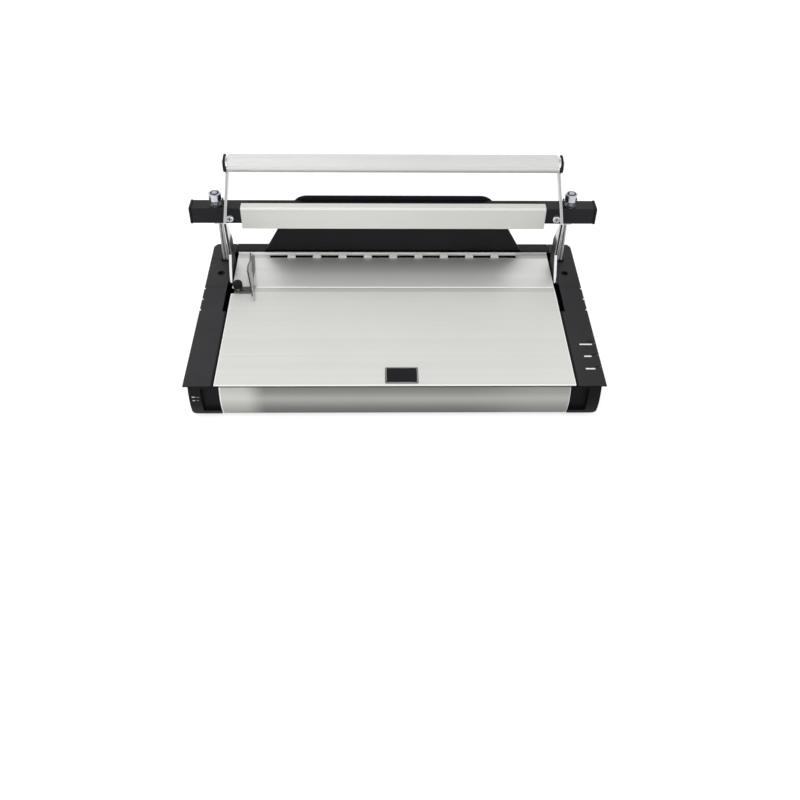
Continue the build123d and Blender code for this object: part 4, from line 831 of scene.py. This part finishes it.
def soft_edged(node, width):
    """A copy of a node with its sharp edges rounded, standing for the node."""
    piece = bpy.data.objects.new(node + "_finished", NODES[node].data.copy())
    bpy.context.scene.collection.objects.link(piece)
    edit_all(piece)
    bpy.ops.mesh.remove_doubles(threshold=MERGE_DISTANCE * MM)
    bpy.ops.mesh.dissolve_limited(angle_limit=math.radians(FLAT_ANGLE))
    bpy.ops.object.mode_set(mode="OBJECT")
    bevel = piece.modifiers.new("rounded edges", "BEVEL")
    bevel.width = width * MM
    bevel.segments = 2
    bevel.limit_method = "ANGLE"
    bevel.angle_limit = math.radians(SHARP_ANGLE)
    bevel.use_clamp_overlap = False
    apply_modifiers(piece)
    bpy.ops.object.shade_smooth_by_angle(angle=math.radians(SMOOTH_ANGLE))
    weigh = piece.modifiers.new("flat faces", "WEIGHTED_NORMAL")
    weigh.keep_sharp = True
    apply_modifiers(piece)
    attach(piece, BODIES[node])
    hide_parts(node)
    return piece


def paint_faces(piece, paint, choose):
    """Give a second finish to the faces chosen by their middle, in mm, and their normal."""
    piece.data.materials.append(paint)
    index = len(piece.data.materials) - 1
    for face in piece.data.polygons:
        if choose(face.center / MM, face.normal):
            face.material_index = index


def add_piece(piece, name, paint):
    """Name, paint and hand over a new piece of the base."""
    piece.name = name
    piece.data.materials.clear()
    piece.data.materials.append(paint)
    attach(piece, "base")


# ---- rounded edges -----------------------------------------------------------------------------
# Width of each node's rounded edges. The nodes that aren't here keep their sharp edges, and so does
# the backstop plate, because rounding them turns some of its faces inside out.
EDGE_WIDTHS = {
    "front_table_panel": 0.35,
    "rear_table_panel": 0.12,
    "press_cover": 0.35,
    "front_fascia": 0.3,
    "side_cover_left": 0.35,
    "guide_post_left": 0.3,
    "handle_arm_left": 0.45,
    "guide_bush_left": 0.15,
    "side_cover_right": 0.35,
    "guide_post_right": 0.3,
    "handle_arm_right": 0.45,
    "guide_bush_right": 0.15,
    "rear_cover": 0.3,
    "press_tube": 0.4,
    "tube_caps": 0.4,
    "tube_screws": 0.2,
    "handle_bar": 0.12,
    "handle_caps": 0.3,
    "lock_nuts": 0.4,
    "stud_washers": 0.3,
    "lock_tabs": 0.25,
    "label_plate": 0.12,
    "guide_knob": 0.35,
    "rubber_feet": 0.5,
    "base_tray": 0.3,
    "switch_frame": 0.25,
    "power_rocker": 0.3,
    "mains_inlet": 0.3,
    "fuse_holder": 0.3,
    "side_fence": 0.2,
}
softened = {node: soft_edged(node, width) for node, width in EDGE_WIDTHS.items()}

TRAY_FRONT_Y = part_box("base_tray")[0][1] / MM
SCREW_FACE_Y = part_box("tube_screws")[0][1] / MM
SCREW_X = 175.2


def window_wall(c, n):
    """The upright walls of the pin windows."""
    return abs(c.y - ROW_Y) < 2.6 and abs(c.x) < 139.0 and abs(n.z) < 0.9


def front_corner(c, n):
    """The upright faces of a side cover in front of the tray, under its overhang."""
    return c.y < TRAY_FRONT_Y + 1.0 and (n.z < 0.6 or c.z < 40.0)


def cross_recess(c, n):
    """The driver's cross in the head of a screw on the press tube."""
    return SCREW_FACE_Y + 0.4 < c.y < SCREW_FACE_Y + 1.3 and abs(abs(c.x) - SCREW_X) < 2.4


def arm_flat(c, n):
    """The flat sides of a handle arm."""
    return abs(n.x) > 0.95


def fence_top(c, n):
    """The cut edge along the top of the side fence."""
    return n.z > 0.5 and c.z > 54.0


def fence_foot(c, n):
    """The fence's sliding foot, as seen from above and from the front."""
    return (n.z > 0.5 or n.y < -0.5) and c.z < 53.0 and c.x < -151.5


for node, paint, choose in (
    # Painted shade black on the walls of the pin windows.
    ("rear_table_panel", SHADE_BLACK, window_wall),
    # Painted shade on the front corners under the overhang.
    ("side_cover_left", LEFT_CORNER_SHADE, front_corner),
    ("side_cover_right", SHADE_BLACK, front_corner),
    # A painted dark reflection on the arms' flat sides.
    ("handle_arm_left", ARM_SIDE, arm_flat),
    ("handle_arm_right", ARM_SIDE, arm_flat),
    # Painted shade black in the screws' cross recesses.
    ("tube_screws", SHADE_BLACK, cross_recess),
    ("side_fence", EDGE_DARK, fence_top),
    ("side_fence", FOOT_GREY, fence_foot),
):
    paint_faces(softened[node], paint, choose)


# ---- small details -----------------------------------------------------------------------------
COVER_RISE = 1.0      # the side covers' top over the table
LABEL_RISE = 1.9      # the label's face over the table
SCREW_HEAD = 3.0      # radius of a cover screw's head
RING_RADIUS, RING_WIRE, RING_FLATTENING = 3.4, 0.5, 0.5

BAR_THICK, BAR_EDGE = 0.14, 0.05
BAR_MIDDLE = COVER_RISE + 0.05
LAMP_BARS = (    # kind, width in Y, slot, finish, (left end, right end, y from the window row)
    ("lamp_mark", 1.9, "press_sheet", WHITE_MARK,
     ((185.95, 198.5, -150.8), (187.8, 195.1, -168.7), (186.4, 195.7, -186.9))),
    # Painted shade: dark bars standing for the shade in the short slots beside the lamps.
    ("lamp_slot_shade", 1.2, "black_plastic", SHADE_BLACK,
     ((194.4, 199.9, -146.6), (195.6, 199.9, -165.8), (195.6, 199.9, -183.9))),
)

PIN_PITCH = 28.5
WINDOW_LENGTH = 19.4
TAB_COUNT = 9
TAB_SIZE = (PIN_PITCH - WINDOW_LENGTH - 0.8, 5.4, 0.5)
TAB_EDGE = 0.18
TAB_MIDDLE = 1.85     # the tabs' middle over the table; their underside is 1.6 clear of the panel


def flat_bar(size, place, bevel):
    """Flat bar lying along the table's slope, with rounded edges."""
    deselect_all()
    bpy.ops.mesh.primitive_cube_add(size=1.0, location=place)
    bar = bpy.context.object
    bar.scale = Vector(size) * MM
    bar.rotation_euler = TILT
    settle(bar)
    edit_all(bar)
    bpy.ops.mesh.bevel(offset=bevel * MM, segments=2, affect="EDGES")
    bpy.ops.object.mode_set(mode="OBJECT")
    return bar


def screw_rings():
    """Rolled rim round each screw hole in the side covers, both in one mesh; it takes the painted
    shade black, so the dark of each hole reads wider.
    """
    low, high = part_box("cover_screws")
    reach = high[0] / MM - SCREW_HEAD
    middle = on_table(-reach, (low[1] + high[1]) / 2 / MM - ROW_Y, COVER_RISE)
    deselect_all()
    bpy.ops.mesh.primitive_torus_add(
        major_segments=48, minor_segments=12,
        major_radius=RING_RADIUS * MM, minor_radius=RING_WIRE * MM,
        location=middle, rotation=TILT,
    )
    ring = bpy.context.object
    settle(ring)
    edit_all(ring)
    bpy.ops.transform.resize(value=(1, 1, RING_FLATTENING), center_override=middle)
    bpy.ops.object.mode_set(mode="OBJECT")
    row_of(ring, 2, 2 * reach)
    bpy.ops.object.shade_smooth()
    return ring


def label_border():
    """Thin raised line round the label, a little inside its edge."""
    low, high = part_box("label_plate")
    margin, line_width, line_height, sunk = 0.75, 0.3, 0.12, 0.04
    deselect_all()
    bpy.ops.mesh.primitive_plane_add(
        size=1.0, location=((low[0] + high[0]) / 2, (low[1] + high[1]) / 2, 0),
    )
    line = bpy.context.object
    line.scale = (*(high[i] - low[i] - 2 * margin * MM for i in (0, 1)), 1)
    settle(line)
    edit_all(line)
    bpy.ops.mesh.bevel(offset=1.0 * MM, segments=4, affect="VERTICES")
    bpy.ops.mesh.inset(thickness=line_width * MM)
    bpy.ops.mesh.delete(type="FACE")
    bpy.ops.mesh.select_all(action="SELECT")
    bpy.ops.mesh.extrude_region_move(TRANSFORM_OT_translate={"value": (0, 0, line_height * MM)})
    bpy.ops.mesh.select_all(action="SELECT")
    bpy.ops.mesh.normals_make_consistent(inside=False)
    bpy.ops.object.mode_set(mode="OBJECT")
    for vertex in line.data.vertices:
        vertex.co.z += on_table(0, vertex.co.y / MM - ROW_Y, LABEL_RISE - sunk).z
    return line


def row_tabs():
    """Nine flat tabs, one in each gap between the pin windows, all in one mesh."""
    first = on_table(-(TAB_COUNT - 1) / 2 * PIN_PITCH, 0.0, TAB_MIDDLE)
    tab = flat_bar(TAB_SIZE, first, TAB_EDGE)
    row_of(tab, TAB_COUNT, PIN_PITCH)
    return tab


for kind, width, slot, paint, rows in LAMP_BARS:
    for number, (left, right, y) in enumerate(rows, 1):
        place = on_table((left + right) / 2, y, BAR_MIDDLE)
        bar = flat_bar((right - left, width, BAR_THICK), place, BAR_EDGE)
        add_piece(bar, "%s_%d" % (kind, number), paint)
add_piece(screw_rings(), "screw_rings", SHADE_BLACK)
add_piece(label_border(), "label_border", WHITE_MARK)
add_piece(row_tabs(), "row_tabs", TAB_BRIGHT)

bpy.context.scene.view_settings.view_transform = "Standard"
